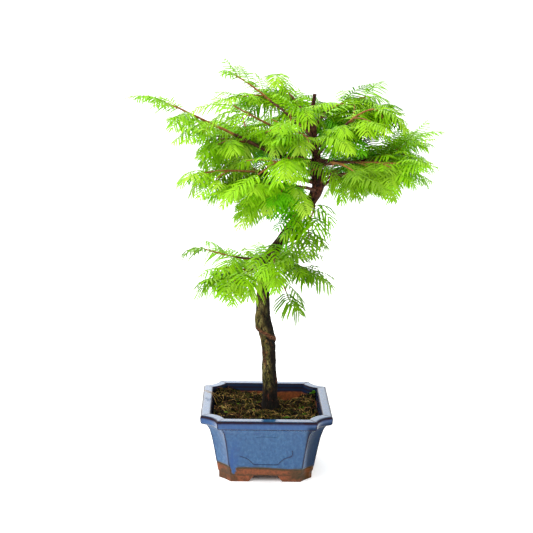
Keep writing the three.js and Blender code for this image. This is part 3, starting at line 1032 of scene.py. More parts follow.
    def wall_point(self, turn: int, along: float, height: float) -> Points:
        """A place on a side's outer face.

        Args:
            turn: Number of the side, from the front one anticlockwise.
            along: Distance from the side's middle.
            height: Height.

        Returns:
            The place.
        """
        rows = np.array(self.outside)
        x, y = along, -(np.interp(height, rows[:, 0], rows[:, 1]) + self.glaze_depth)
        c, s = quarter_turns(turn)
        return np.array([c * x - s * y, s * x + c * y, height])

    def panel_lines(self) -> Skin:
        """Raised lines of the moulded panel on each side: a shallow tray with stepped, curled ends.

        Returns:
            Their skin, with the glaze's marks.
        """
        right = np.array(self.tray)
        # the left half is a little longer and ends before the curl
        left = right[:0:-1][2:] * np.array([-self.tray_left, 1])
        lower = self.eased(np.concatenate([left, right]))
        top = self.eased(np.array(self.panel_top))
        skin = Skin()
        for turn in range(4):
            for line, wide in ((lower, self.tray_line), (top, self.top_line)):
                path = np.array([self.wall_point(turn, along, height) for along, height in line])
                from_end = np.minimum(np.arange(len(path)), np.arange(len(path))[::-1])
                taper = np.minimum(1, 0.35 + from_end / 6)
                add_tube(skin, path, wide * taper, 8)
        height = np.concatenate(skin.points)[:, 2]
        skin.values = {mark: [np.zeros(skin.count)] for mark in MARKS}
        skin.values["glaze"] = [np.ones(skin.count)]
        skin.values["thin"] = [np.where(height > 50, 0.1, 0.58)]
        return skin

    @staticmethod
    def eased(line: Points) -> Points:
        """A line with its corners rounded, evenly stepped.

        Args:
            line: Given points.

        Returns:
            The finer line through them.
        """
        steps = lengths_along(line)
        dense = read_off(line, steps, np.linspace(0, steps[-1], int(steps[-1] / 0.8) + 2))
        for _ in range(6):
            dense[1:-1] = (dense[:-2] + 2 * dense[1:-1] + dense[2:]) / 4
        return dense

    def build(self) -> None:
        """Builds and dresses the pot and its panel lines."""
        skin, points, marks = self.shell()
        pot = skin.made("pot_body", self.place)
        self.cut_feet(pot)
        self.mark(pot, points, marks)
        material = GlazeFinish().material()
        seat(pot, material, Slot.POT, ["pot"])
        seat(self.panel_lines().made("pot_panel_lines", self.place), material, Slot.POT, ["pot"])


# ------------------------ soil
@dataclass
class Soil:
    """Soil heaped in the pot, with moss, crumbs and dry roots on it."""

    place: Points
    pot: Pot
    level: float = 74
    slope: tuple[float, float] = (-0.030, -0.042)
    # where the trunk stands
    trunk: tuple[float, float] = (5.4, -1.0)
    rings: int = 84
    # x, y, reach and rise of each mound or hollow
    mounds: Table = (
        (29, 57, 11.5, -14), (-58, 54, 14, 7.0), (60, 52, 12, 7.5), (-6, 9, 5, 1.2),
        (48, -50, 9, 2.0), (17, -54, 8, 1.8), (-40, -30, 16, 1.0),
    )
    # x, y, spread and number of shoots of each bright cushion of moss
    cushions: Table = (
        (25, -40, 4.6, 60), (58, -38, 4.2, 50), (60, 46, 3.4, 30), (-35, 6, 1.8, 12), (-15, -22, 2.0, 14),
        (44, 2, 3.4, 20), (-49, -31, 2.6, 12), (-52, -12, 1.6, 6), (-9, 12, 2.4, 12), (46, -20, 2.0, 8),
    )
    # where the roots that lie over the left rim leave the soil
    rim_roots: Table = ((-60, 6), (-57, 14), (-52, 20))
    # each colour of dry root and the share of all roots up to it
    root_shares: tuple[tuple[str, float], ...] = (("straw", 0.22), ("brown", 0.55), ("olive", 1.0))
    root_count: int = 1050
    root_step: float = 1.35
    crumb_count: int = 2600
    tuft_count: int = 1300
    leaves: int = 6
    underside: float = 56.0
    # how far crumbs, moss and roots go from the middle along an axis, and along both axes together
    spot_reach: float = 61.0
    spot_corner: float = 105
    root_reach: float = 62
    root_corner: float = 108
    trunk_room: float = 12.5

    def height(self, x: Points, y: Points) -> Points:
        """Height of the soil's surface.

        Args:
            x: Places to the right of the pot's middle.
            y: Places behind it.

        Returns:
            One height a place.
        """
        spots = np.stack([x, y, np.zeros_like(x)], -1)
        lump = 0.75 * (np.sin(x / 7.3 + y / 11) + np.sin(y / 5.9 - x / 13))
        near = np.exp(-((x - self.trunk[0]) ** 2 + (y - self.trunk[1]) ** 2) / (2 * 11**2))
        raised = sum(rise * np.exp(-((x - mx) ** 2 + (y - my) ** 2) / (2 * wide**2))
                     for mx, my, wide, rise in self.mounds)
        heap = self.slope[0] * x + self.slope[1] * y
        fine = 1.3 * rough(spots, 8, 41) + 0.95 * rough(spots, 2.8, 43)
        pits = smooth_step(0.1, 0.5, noise(spots, 4.4, 47)) * 3.2
        return (self.level + (heap + lump) * (1 - near) + (fine - pits) * (1 - 0.5 * near) + raised
                + 0.6 * near)

    def ground(self, x: float, y: float) -> float:
        """Height of the soil's surface at one place."""
        return float(self.height(np.array(x), np.array(y)))

    def wall(self, height: float) -> Points:
        """Inside outline of the pot.

        Args:
            height: Height at which it is taken.

        Returns:
            Two numbers to a row.
        """
        rows = np.array(self.pot.inside[1:])[::-1]
        half, cut, scoop = (np.interp(height, rows[:, 0], rows[:, c]) for c in (1, 2, 3))
        return self.pot.outline(half - 0.15, cut, scoop)

    def bed(self) -> Skin:
        """The soil itself, closed below.

        Returns:
            Its skin.
        """
        edge = self.wall(self.level)
        shares = np.linspace(1, 0.0, self.rings)[:-1] ** 0.9
        centre = np.array(self.trunk)
        flat = centre + (edge[None] - centre) * shares[:, None, None]
        top = np.concatenate([flat, self.height(flat[..., 0], flat[..., 1])[..., None]], -1)
        top[0, :, 2] -= 0.4
        low = at_level(self.wall(self.underside), self.underside)
        centres = np.array([[0, 0, self.underside], [*centre, self.level + 0.8]])
        skin = Skin()
        add_rings(skin, np.concatenate([low[None], top]), centres)
        return skin

    def spot(self, *keys: float, gathered: float = 0.0) -> tuple[float, float]:
        """A repeatable place on the soil, clear of the wall and the trunk.

        Args:
            keys: Numbers that the place is drawn from.
            gathered: Share of the places that keep to the thicker patches.

        Returns:
            The place.
        """
        reach = self.spot_reach
        for attempt in range(40):
            x, y = between(-reach, reach, *keys, attempt, 1), between(-reach, reach, *keys, attempt, 2)
            inside = abs(x) + abs(y) < self.spot_corner
            thick = chance(*keys, 4) > gathered or noise(np.array([x, y, 0.0]), 8, 53) > 0.05
            if inside and thick and math.dist((x, y), self.trunk) > self.trunk_room:
                return float(x), float(y)
        return reach / 2, -reach / 2

    def strand(self, k: int) -> tuple[Points, Points]:
        """One dry root.

        Args:
            k: Its number.

        Returns:
            Its path along the soil, and its radius at each place.
        """
        x, y = self.spot(700 + k, 3, gathered=0.75)
        steps = int(between(4, 15, k, 711))
        heading = between(0, 2 * math.pi, k, 712)
        curl = between(-0.22, 0.22, k, 713)
        rise = between(0.2, 3.2, k, 714) * (0.35 if chance(k, 715) < 0.6 else 1)
        path = []
        for i in range(steps):
            share = i / (steps - 1)
            heading += curl + between(-0.34, 0.34, k, i, 716)
            x += self.root_step * math.cos(heading)
            y += self.root_step * math.sin(heading)
            x, y = (float(np.clip(value, -self.root_reach, self.root_reach)) for value in (x, y))
            over = abs(x) + abs(y) - self.root_corner
            if over > 0:
                x -= math.copysign(over / 2, x)
                y -= math.copysign(over / 2, y)
            path.append([x, y, 0.25 + rise * math.sin(math.pi * share)])
        path = np.array(path)
        path[:, 2] += self.height(path[:, 0], path[:, 1])
        thick = between(0.19, 0.46, k, 717)
        return path, thick * (1 - 0.5 * np.linspace(0, 1, steps))

    def strands(self) -> dict[str, Skin]:
        """Dry roots sorted by colour.

        Returns:
            A skin for each colour.
        """
        sorted_roots = {name: Skin() for name, _ in self.root_shares}
        for k in range(self.root_count):
            path, radius = self.strand(k)
            draw = chance(k, 718)
            name = next(name for name, share in self.root_shares if draw < share)
            add_tube(sorted_roots[name], path, radius, 4)
        for k, (x, y) in enumerate(self.rim_roots):
            add_tube(sorted_roots["straw"], *self.over_rim(k, x, y), 4)
        return sorted_roots

    def over_rim(self, k: int, x: float, y: float) -> tuple[Points, Points]:
        """A root that leaves the soil and lies over the left rim.

        Args:
            k: Its number.
            x: Where it leaves the soil.
            y: The same, towards the back.

        Returns:
            Its path, and its radius at each place.
        """
        share = np.linspace(0, 1, 16)
        start, end = np.array([x, y, self.level]), np.array([-72 - 2 * k, y + 9 - 5 * k, 83.0])
        rim, top = -64, 82.9
        path = start + (end - start) * share[:, None]
        arch = self.level + 13.5 * np.sin(share * math.pi * 0.62)
        path[:, 2] = np.maximum(arch, np.where(path[:, 0] < rim, top, 0))
        path[:, 1] += 2.5 * np.sin(share * 5 + k)
        return path, np.full(16, 0.24)

    def crumbs(self) -> Skin:
        """Small lumps of soil and grit.

        Returns:
            Their skin.
        """
        base = np.array([[1, 0, 0], [-1, 0, 0], [0, 1, 0], [0, -1, 0], [0, 0, 1], [0, 0, -1.0]])
        faces = np.array([[0, 2, 4], [2, 1, 4], [1, 3, 4], [3, 0, 4],
                          [2, 0, 5], [1, 2, 5], [3, 1, 5], [0, 3, 5]])
        skin = Skin()
        for k in range(self.crumb_count):
            x, y = self.spot(900 + k, 5)
            size = between(0.35, 1.5, k, 901) * (1.3 if chance(k, 902) > 0.93 else 0.85)
            shape = base * np.array([between(0.7, 1.3, k, i, 903) for i in range(6)])[:, None] * size
            turn = between(0, 6.3, k, 904)
            c, s = math.cos(turn), math.sin(turn)
            shape = shape @ np.array([[c, s, 0], [-s, c, 0], [0, 0, 0.8]])
            skin.add(shape + np.array([x, y, self.ground(x, y) + 0.25 * size]), triangles=faces)
        return skin

    def tuft(self, skin: Skin, x: float, y: float, size: float, key: int) -> None:
        """Adds one shoot of moss: a rosette of short pointed leaves.

        Args:
            skin: What it is added to.
            x: Its place.
            y: The same, towards the back.
            size: Length of a leaf.
            key: Number that its leaves are drawn from.
        """
        foot = np.array([x, y, self.ground(x, y) - 0.2])
        for i in range(self.leaves):
            turn = 2 * math.pi * i / self.leaves + between(-0.4, 0.4, key, i, 801)
            out = np.array([math.cos(turn), math.sin(turn), 0])
            side = np.array([-out[1], out[0], 0])
            rise = between(0.5, 1.2, key, i, 802)
            middle = foot + (out * 0.5 + UP * rise * 0.7) * size
            tip = foot + (out * 1.05 + UP * rise) * size
            wide = 0.2 * size
            skin.add(np.array([foot, middle + side * wide, tip, middle - side * wide]),
                     quads=np.array([[0, 3, 2, 1]]))

    def moss(self) -> dict[str, Skin]:
        """Dark moss over the soil and bright cushions in a few places.

        Returns:
            A skin for each green.
        """
        dark, bright = Skin(), Skin()
        for k in range(self.tuft_count):
            x, y = self.spot(1300 + k, 7)
            cover = noise(np.array([x, y, 0.0]), 22, 51)
            if cover > -0.25:
                self.tuft(dark, x, y, between(0.8, 1.9, k, 803), k)
        for c, (cx, cy, spread, count) in enumerate(self.cushions):
            for k in range(count):
                angle, far = between(0, 6.3, c, k, 805), spread * math.sqrt(chance(c, k, 806))
                x, y = cx + far * math.cos(angle), cy + 0.8 * far * math.sin(angle)
                self.tuft(bright, x, y, between(0.9, 1.7, c, k, 807), 5000 + 100 * c + k)
        return {"dark": dark, "bright": bright}

    def build(self) -> None:
        """Builds and dresses everything in the pot."""
        seat(self.bed().made("soil_bed", self.place), EarthFinish().material(), Slot.SOIL, ["soil"])
        crumb = TwigFinish("soil_crumb", (3, 2, 1), (40, 28, 13), 0.95)
        seat(self.crumbs().made("soil_crumbs", self.place), crumb.material(), Slot.SOIL, ["soil"])
        roots = {"straw": TwigFinish("straw_root", (104, 72, 32), (206, 168, 100), 0.8),
                 "brown": TwigFinish("brown_root", (12, 6, 3), (100, 56, 28), 0.85),
                 "olive": TwigFinish("olive_root", (6, 5, 2), (102, 94, 28), 0.85)}
        for name, skin in self.strands().items():
            seat(skin.made(f"dry_roots_{name}", self.place), roots[name].material(), Slot.SOIL, ["soil"])
        greens = {"dark": LeafFinish("dark_moss", (40, 46, 8), 0.8),
                  "bright": LeafFinish("bright_moss", (92, 150, 14), 0.7)}
        for name, skin in self.moss().items():
            seat(skin.made(f"moss_{name}", self.place), greens[name].material(), Slot.SOIL, ["soil"])


# ------------------------ trunk
@dataclass
class Trunk:
    """Bent trunk with fissured bark, from its flare at the soil to its sawn top."""

    place: Points
    # height, x, y, thickness
    line: Table = (
        (74, 5.4, -1, 21.5), (84, 5.0, -1, 18.2), (96, 4.8, -1, 17.3), (121, 2.9, -1, 16.0),
        (146, 2.2, -1, 16.0), (160, 0.7, -1, 17.4), (171, -1.5, -1, 18.4), (183, -4.9, -1, 18.8),
        (196, -5.4, 0, 17.0), (208, -5.8, 0, 15.8), (227, -5.4, 0, 14.4), (245, -2.6, 0, 13.6),
        (267, 5.4, 0, 12.8), (285, 17.6, 0, 12.0), (308, 33.6, 0, 11.8), (330, 49.0, 0, 11.8),
        (345, 56.0, 0, 12.0), (359, 55.6, 0, 10.2), (380, 52.6, 0, 7.6), (399, 50.4, 0, 7.0),
        (429, 46.8, 0, 5.0), (453, 49.6, 0, 4.0),
    )
    sides: int = 88
    step: float = 0.8
    below_soil: float = 6.0
    # direction, in radians, of the side that faces the light and is painted lighter
    lit_direction: float = 3.5
    # how far the bark's strips turn round the trunk for each millimetre of height, in radians
    twist: float = 0.010
    # height of the twisted ridge, how far it climbs to one side, and its width
    ridge: Triple = (168.5, 8.5, 3.2)
    # height, direction in radians, swell and width of each old pruning scar
    scars: Table = (
        (352, -1.9, 2.6, 4.6), (361, -0.5, 2.4, 4.4), (370, -2.3, 2.2, 4.0), (384, -1.2, 1.8, 3.6),
        (391, -2.6, 1.6, 3.4), (207, 2.4, 1.6, 4.0), (126, -2.2, 1.2, 4.6), (239, -0.4, 1.6, 4.2),
    )
    # swell and width of the collar at a bough's foot
    collar: tuple[float, float] = (1.5, 5.0)

    def __post_init__(self) -> None:
        """Keeps the line as an array."""
        self.rows = np.array(self.line, float)

    def at(self, height: float | Points) -> tuple[Points, Points]:
        """Centre and thickness of the trunk, straight between the given places.

        Args:
            height: One height or more.

        Returns:
            Centres, three numbers to a row, and thicknesses.
        """
        x, y, thickness = (np.interp(height, self.rows[:, 0], self.rows[:, c]) for c in (1, 2, 3))
        return np.stack([x, y, np.asarray(height, float)], -1), thickness

    def path(self) -> Points:
        """Smooth evenly stepped centreline.

        Returns:
            Three numbers to a row.
        """
        z = self.rows[:, 0]
        slopes = np.gradient(self.rows[:, 1:3], z, axis=0)
        fine = np.linspace(z[0], z[-1], 1200)
        k = np.clip(np.searchsorted(z, fine) - 1, 0, len(z) - 2)
        gap = (z[k + 1] - z[k])[:, None]
        t = ((fine - z[k])[:, None]) / gap
        start, end = self.rows[k, 1:3], self.rows[k + 1, 1:3]
        flat = ((2 * t**3 - 3 * t**2 + 1) * start + (t**3 - 2 * t**2 + t) * gap * slopes[k]
                + (3 * t**2 - 2 * t**3) * end + (t**3 - t**2) * gap * slopes[k + 1])
        line = np.concatenate([flat, fine[:, None]], 1)
        foot = line[:1] - np.array([[0, 0, self.below_soil]])
        line = np.concatenate([foot, line])
        steps = lengths_along(line)
        return read_off(line, steps, np.linspace(0, steps[-1], int(steps[-1] / self.step)))

    def relief(self, path: Points, angle: Points, thick: Points,
               boughs: "list[Bough]") -> tuple[Points, Points, Points]:
        """Radius of every point of the bark, its painted shade in the cracks and under the ridge, and its
        share of the ridge.

        Args:
            path: Centreline.
            angle: Angle of each side.
            thick: Thickness at each place.
            boughs: Boughs that leave the trunk.

        Returns:
            Radius, painted crack shade and ridge, each of places by sides.
        """
        z = path[:, 2][:, None]
        a = angle[None]
        foot = np.exp(-np.maximum(z - self.rows[0, 0], 0) / 9)
        shape = (1 + 0.05 * np.sin(3 * a + z / 17) + 0.035 * np.sin(5 * a - z / 9)
                 + 0.12 * foot * np.cos(5 * a))
        twisted = a + self.twist * (z - self.rows[0, 0])
        ring = np.stack([np.cos(twisted) * 9 + 0 * z, np.sin(twisted) * 9 + 0 * z, z + 0 * a], -1)
        strips = np.abs(noise(ring, (3.4, 3.4, 26), 61)) + 0.5 * np.abs(noise(ring, (1.7, 1.7, 11), 62))
        flakes = noise(ring, (2.2, 2.2, 6), 63)
        age = np.clip((thick / 18)[:, None], 0.25, 1.15)
        level, rise, wide = self.ridge
        climb = z - level + rise * np.cos(a)
        ridge = np.exp(-((climb / wide) ** 2))
        bark = age * (1.5 * (strips - 0.45) + 0.45 * flakes) + 0.18 * noise(ring, (0.9, 0.9, 2.2), 64)
        knots = self.knots(path, angle, boughs)
        # a groove under the ridge, which also gets painted shadow
        under = np.exp(-(((climb + 5.2) / 1.5) ** 2))
        radius = (thick[:, None] / 2 * shape + bark * 0.8 * (1 - 0.6 * ridge)
                  + (1.5 * ridge - 0.9 * under) * age + knots)
        # painted shade in the cracks, on top of the dark inner bark
        crack_shade = smooth_step(0.32, 0.06, strips) * 0.85 + 0.4 * smooth_step(0.1, -0.6, flakes)
        crack_shade = crack_shade * (1 - 0.8 * ridge) + 0.8 * under
        return radius, np.clip(crack_shade, 0, 1), ridge

    def knots(self, path: Points, angle: Points, boughs: "list[Bough]") -> Points:
        """Swellings round the boughs and at old pruning scars.

        Args:
            path: Centreline.
            angle: Angle of each side.
            boughs: Boughs that leave the trunk.

        Returns:
            What they add to the radius, of places by sides.
        """
        z = path[:, 2][:, None]
        total = np.zeros((len(path), len(angle)))
        collars = []
        for bough in boughs:
            x, y, _ = np.array(bough.elbow) - self.at(bough.height)[0]
            collars.append((bough.height, math.atan2(y, x), *self.collar))
        for height, way, swell, wide in (*collars, *self.scars):
            turn = np.angle(np.exp(1j * (angle - way)))[None]
            apart = ((z - height) / wide) ** 2 + (turn * 5.5 / wide) ** 2
            total += swell * np.exp(-apart / 1.4)
        return total

    def build(self, boughs: "list[Bough]") -> None:
        """Builds and dresses the trunk.

        Args:
            boughs: Boughs that leave it, for the swellings at their feet.
        """
        path = self.path()
        thick = self.at(np.maximum(path[:, 2], self.rows[0, 0]))[1]
        angle = 2 * np.pi * np.arange(self.sides) / self.sides
        radius, crack_shade, ridge = self.relief(path, angle, thick, boughs)
        rings = sweep(path, radius, self.sides)
        rings[-1, :, 2] += 0.35 * noise(rings[-1], 1.5, 71)
        # painted light and shade: the side towards the light is marked to be painted lighter, the rest
        # darker
        facing = np.cos(angle - self.lit_direction)[None] + 0.45 * noise(rings, (7, 7, 14), 77)
        dry = smooth_step(-0.35, 0.75, facing) * smooth_step(92, 112, path[:, 2])[:, None]
        marks = {"crack_shade": crack_shade, "lit_side": dry, "ridge": ridge}
        values = {name: np.concatenate([mark.ravel(), [0, 0]]) for name, mark in marks.items()}
        skin = Skin()
        add_rings(skin, rings, path[[0, -1]], **values)
        bark = BarkFinish(
            "old_bark", pale=(140, 127, 75), plate=(86, 68, 32), crack=(7, 5, 3), shaded_bark=(32, 19, 10),
            moss=(68, 66, 16), rust=(112, 56, 30), ridge=(116, 72, 48), upper=(104, 58, 42),
            upper_crack=(16, 8, 6))
        seat(skin.made("bark_trunk", self.place), bark.material(), Slot.BARK, ["trunk"])


# ------------------------ boughs and foliage
@dataclass(frozen=True)
class Bough:
    """One bough with the mass of foliage at its end. Angles are in degrees."""

    name: str
    height: float
    elbow: Triple
    tip: Triple
    bare: float
    sprays: int
    size: float
    leader: float
    lift: float
    droop: float
    reach: float
    seed: int
    fullness: int

    def habit(self) -> "Habit":
        """How the bough bears its sprays: bolder in the low cluster, and boldest at its right.

        Returns:
            The habit.
        """
        bold = 1.0 if self.height > 320 else 1.2 if self.tip[0] < 0 else 1.45
        reach = self.reach * 1.12 * (1 + 0.4 * (bold - 1))
        return Habit(self.bare, self.sprays, self.size, self.leader, self.lift, self.droop * 0.6, reach,
                     self.seed, self.fullness, bold)


# name, height on the trunk, elbow, tip, bare share, number and length of sprays, length of the leader,
# lift, droop, needle length, seed, fullness
BOUGHS = [Bough(*row) for row in (
    ("far_left", 357, (-48, -26, 410), (-126, -39, 445), 0.27, 12, 57, 38, 5, 54, 15.7, 301, 2),
    ("high_left", 403, (-5, 15, 447), (-45, 22, 473), 0.29, 9, 41, 14, 39, 57, 15.3, 340, 2),
    ("mid_left", 390, (-21, -44, 429), (-43, -65, 442), 0.18, 9, 73, 21, 0, 94, 17.5, 363, 2),
    ("inner_left", 367, (-44, -16, 401), (-64, -20, 384), 0.41, 9, 52, 15, -18, 125, 16, 110, 2),
    ("low_left", 350, (-32, -45, 368), (-82, -72, 365), 0.29, 14, 55, 24, 0, 83, 16.9, 263, 2),
    ("high_back", 422, (18, 47, 456), (8, 49, 470), 0.12, 5, 58, 62, -13, 105, 19.5, 57, 2),
    ("high_front", 410, (25, -42, 437), (21, -53, 420), 0.28, 7, 44, 68, 35, 83, 16, 270, 1),
    ("high_right", 391, (87, -2, 417), (98, 24, 440), 0.19, 8, 64, 32, 3, 57, 19.5, 240, 3),
    ("high_back_right", 410, (74, 50, 434), (116, 62, 447), 0.23, 3, 64, 27, 26, 86, 19.1, 177, 4),
    ("upper_right", 380, (100, -31, 434), (125, -34, 428), 0.17, 10, 55, 17, 20, 93, 17.1, 318, 4),
    ("far_right", 372, (118, -6, 380), (156, -9, 399), 0.39, 7, 64, 46, 30, 34, 18.4, 28, 3),
    ("front_right", 377, (87, -37, 379), (149, -71, 382), 0.26, 11, 77, 36, 3, 68, 15.8, 105, 3),
    ("back_right", 358, (99, 47, 365), (177, 84, 390), 0.26, 15, 57, 14, 28, 49, 15.5, 315, 4),
    ("low_right", 347, (79, -17, 362), (130, -49, 371), 0.28, 6, 78, 56, 14, 106, 17.4, 79, 4),
    ("back_left", 375, (-9, 56, 387), (-33, 104, 420), 0.26, 10, 66, 58, 24, 26, 17.5, 52, 4),
    ("back_middle", 400, (73, 56, 399), (36, 101, 436), 0.26, 9, 57, 68, 33, 46, 18.1, 306, 4),
    ("low_back_right", 336, (92, 48, 354), (124, 92, 332), 0.34, 6, 64, 15, 2, 73, 16.8, 78, 4),
    ("front_upper", 399, (39, -52, 408), (-1, -86, 429), 0.21, 7, 60, 42, 12, 74, 16.8, 381, 3),
    ("front_middle", 364, (25, -60, 386), (-17, -104, 370), 0.12, 11, 65, 57, 17, 101, 17.6, 277, 3),
    ("front_inner", 358, (66, -56, 380), (90, -96, 374), 0.12, 9, 66, 59, -1, 64, 18.8, 2, 3),
    ("low_front", 340, (19, -42, 351), (-44, -74, 349), 0.2, 11, 72, 34, 6, 78, 17.7, 282, 3),
    ("under_left", 318, (30, -24, 342), (-24, -44, 324), 0.16, 10, 56, 20, 0, 67, 14.8, 51, 3),
    ("under_right", 318, (52, -19, 327), (37, -43, 296), 0.31, 6, 34, 42, 3, 96, 18, 213, 2),
    ("bottom_left", 265, (-22, -8, 260), (-75, -19, 273), 0.32, 4, 52, 15, 14, 91, 17.8, 94, 1),
    ("bottom_front", 252, (-36, -40, 248), (-60, -55, 242), 0.18, 9, 46, 29, 13, 125, 18.8, 72, 2),
    ("bottom_right", 270, (8, -28, 263), (36, -40, 249), 0.13, 5, 62, 18, 5, 95, 16, 186, 2),
    ("bottom_back", 267, (4, 27, 245), (-26, 64, 243), 0.35, 3, 49, 67, 31, 41, 16.7, 7, 2),
    ("bottom_hanging", 237, (9, -14, 243), (25, -23, 214), 0.16, 3, 50, 21, -12, 42, 19.5, 10, 1),
)]


@dataclass(frozen=True)
class Habit:
    """How a limb bears its sprays. Angles are in degrees."""

    bare: float
    sprays: int
    size: float
    leader: float
    lift: float
    droop: float
    reach: float
    seed: int
    fullness: int = 2
    bold: float = 1.0


@dataclass
class Limb:
    """The line of a bough or a twig. Shares are of its length."""

    line: Points

    def __post_init__(self) -> None:
        """Measures the line."""
        self.steps = lengths_along(self.line)
        self.length = self.steps[-1]

    def on(self, share: float | Points) -> Points:
        """Place at a share."""
        return read_off(self.line, self.steps, np.clip(share, 0, 1) * self.length)

    def way(self, low: float, high: float) -> Points:
        """Direction from one share to another."""
        return unit(self.on(high) - self.on(low))


class Rank(Enum):
    """Kinds of spray: key for draws, share of full length, added lift in degrees, place in the gap."""

    MAIN = (0, 1.0, 0.0, 0.4)
    BETWEEN = (300, 0.74, 6.0, 0.9)
    FILL = (600, 0.52, -16.0, 0.62)


@dataclass
class Spray:
    """One feathery shoot: where it starts, how it arches, and how its needles hang."""

    root: Points
    heading: float
    length: float
    lift: float
    droop: float
    curl: float
    reach: float
    roll: float
    sag: float
    key: int
    bold: float = 1.0
    steps: int = 12

    def course(self) -> tuple[Points, Points]:
        """The spray's arch.

        Returns:
            Places along it, and its direction over each step.
        """
        s = (np.arange(self.steps) + 0.5) / self.steps
        rise = self.lift - self.droop * s**1.2
        turn = self.heading + self.curl * s
        ways = np.stack([np.cos(rise) * np.cos(turn), np.cos(rise) * np.sin(turn), np.sin(rise)], -1)
        strides = np.cumsum(ways * self.length / self.steps, axis=0)
        return self.root + np.concatenate([np.zeros((1, 3)), strides]), ways

    def at(self, s: Points) -> tuple[Points, Points, Points]:
        """The spray at some places along it.

        Args:
            s: Shares of its length.

        Returns:
            Its place, direction and side at each.
        """
        places, ways = self.course()
        spot = np.minimum(s, 0.9999) * self.steps
        k = spot.astype(int)
        point = places[k] + (places[k + 1] - places[k]) * (spot - k)[:, None]
        blend = np.clip(spot - 0.5, 0, self.steps - 1.001)
        low = blend.astype(int)
        way = unit(ways[low] + (ways[low + 1] - ways[low]) * (blend - low)[:, None])
        turn = self.heading + self.curl * s
        level = np.stack([np.sin(turn), -np.cos(turn), np.zeros_like(turn)], -1)
        lifted = np.cross(level, way)
        side = level * math.cos(self.roll) + lifted * math.sin(self.roll)
        return point, way, side


class Tint(Enum):
    """Greens of the needles: four of inner shoots and eight of outer ones, each from pale to deep. The
    inner ones are greener, as painted light that stands for light through the needles.
    """

    INNER_LIGHT = (110, 196, 4)
    INNER = (96, 182, 0)
    INNER_FULL = (80, 166, 0)
    INNER_DEEP = (62, 144, 0)
    PALE = (166, 207, 54)
    LEMON = (154, 204, 28)
    LIGHT = (144, 201, 10)
    FRESH = (138, 199, 3)
    GRASS = (131, 191, 2)
    FULL = (130, 179, 14)
    DEEP = (118, 164, 12)
    SHADE = (102, 148, 10)


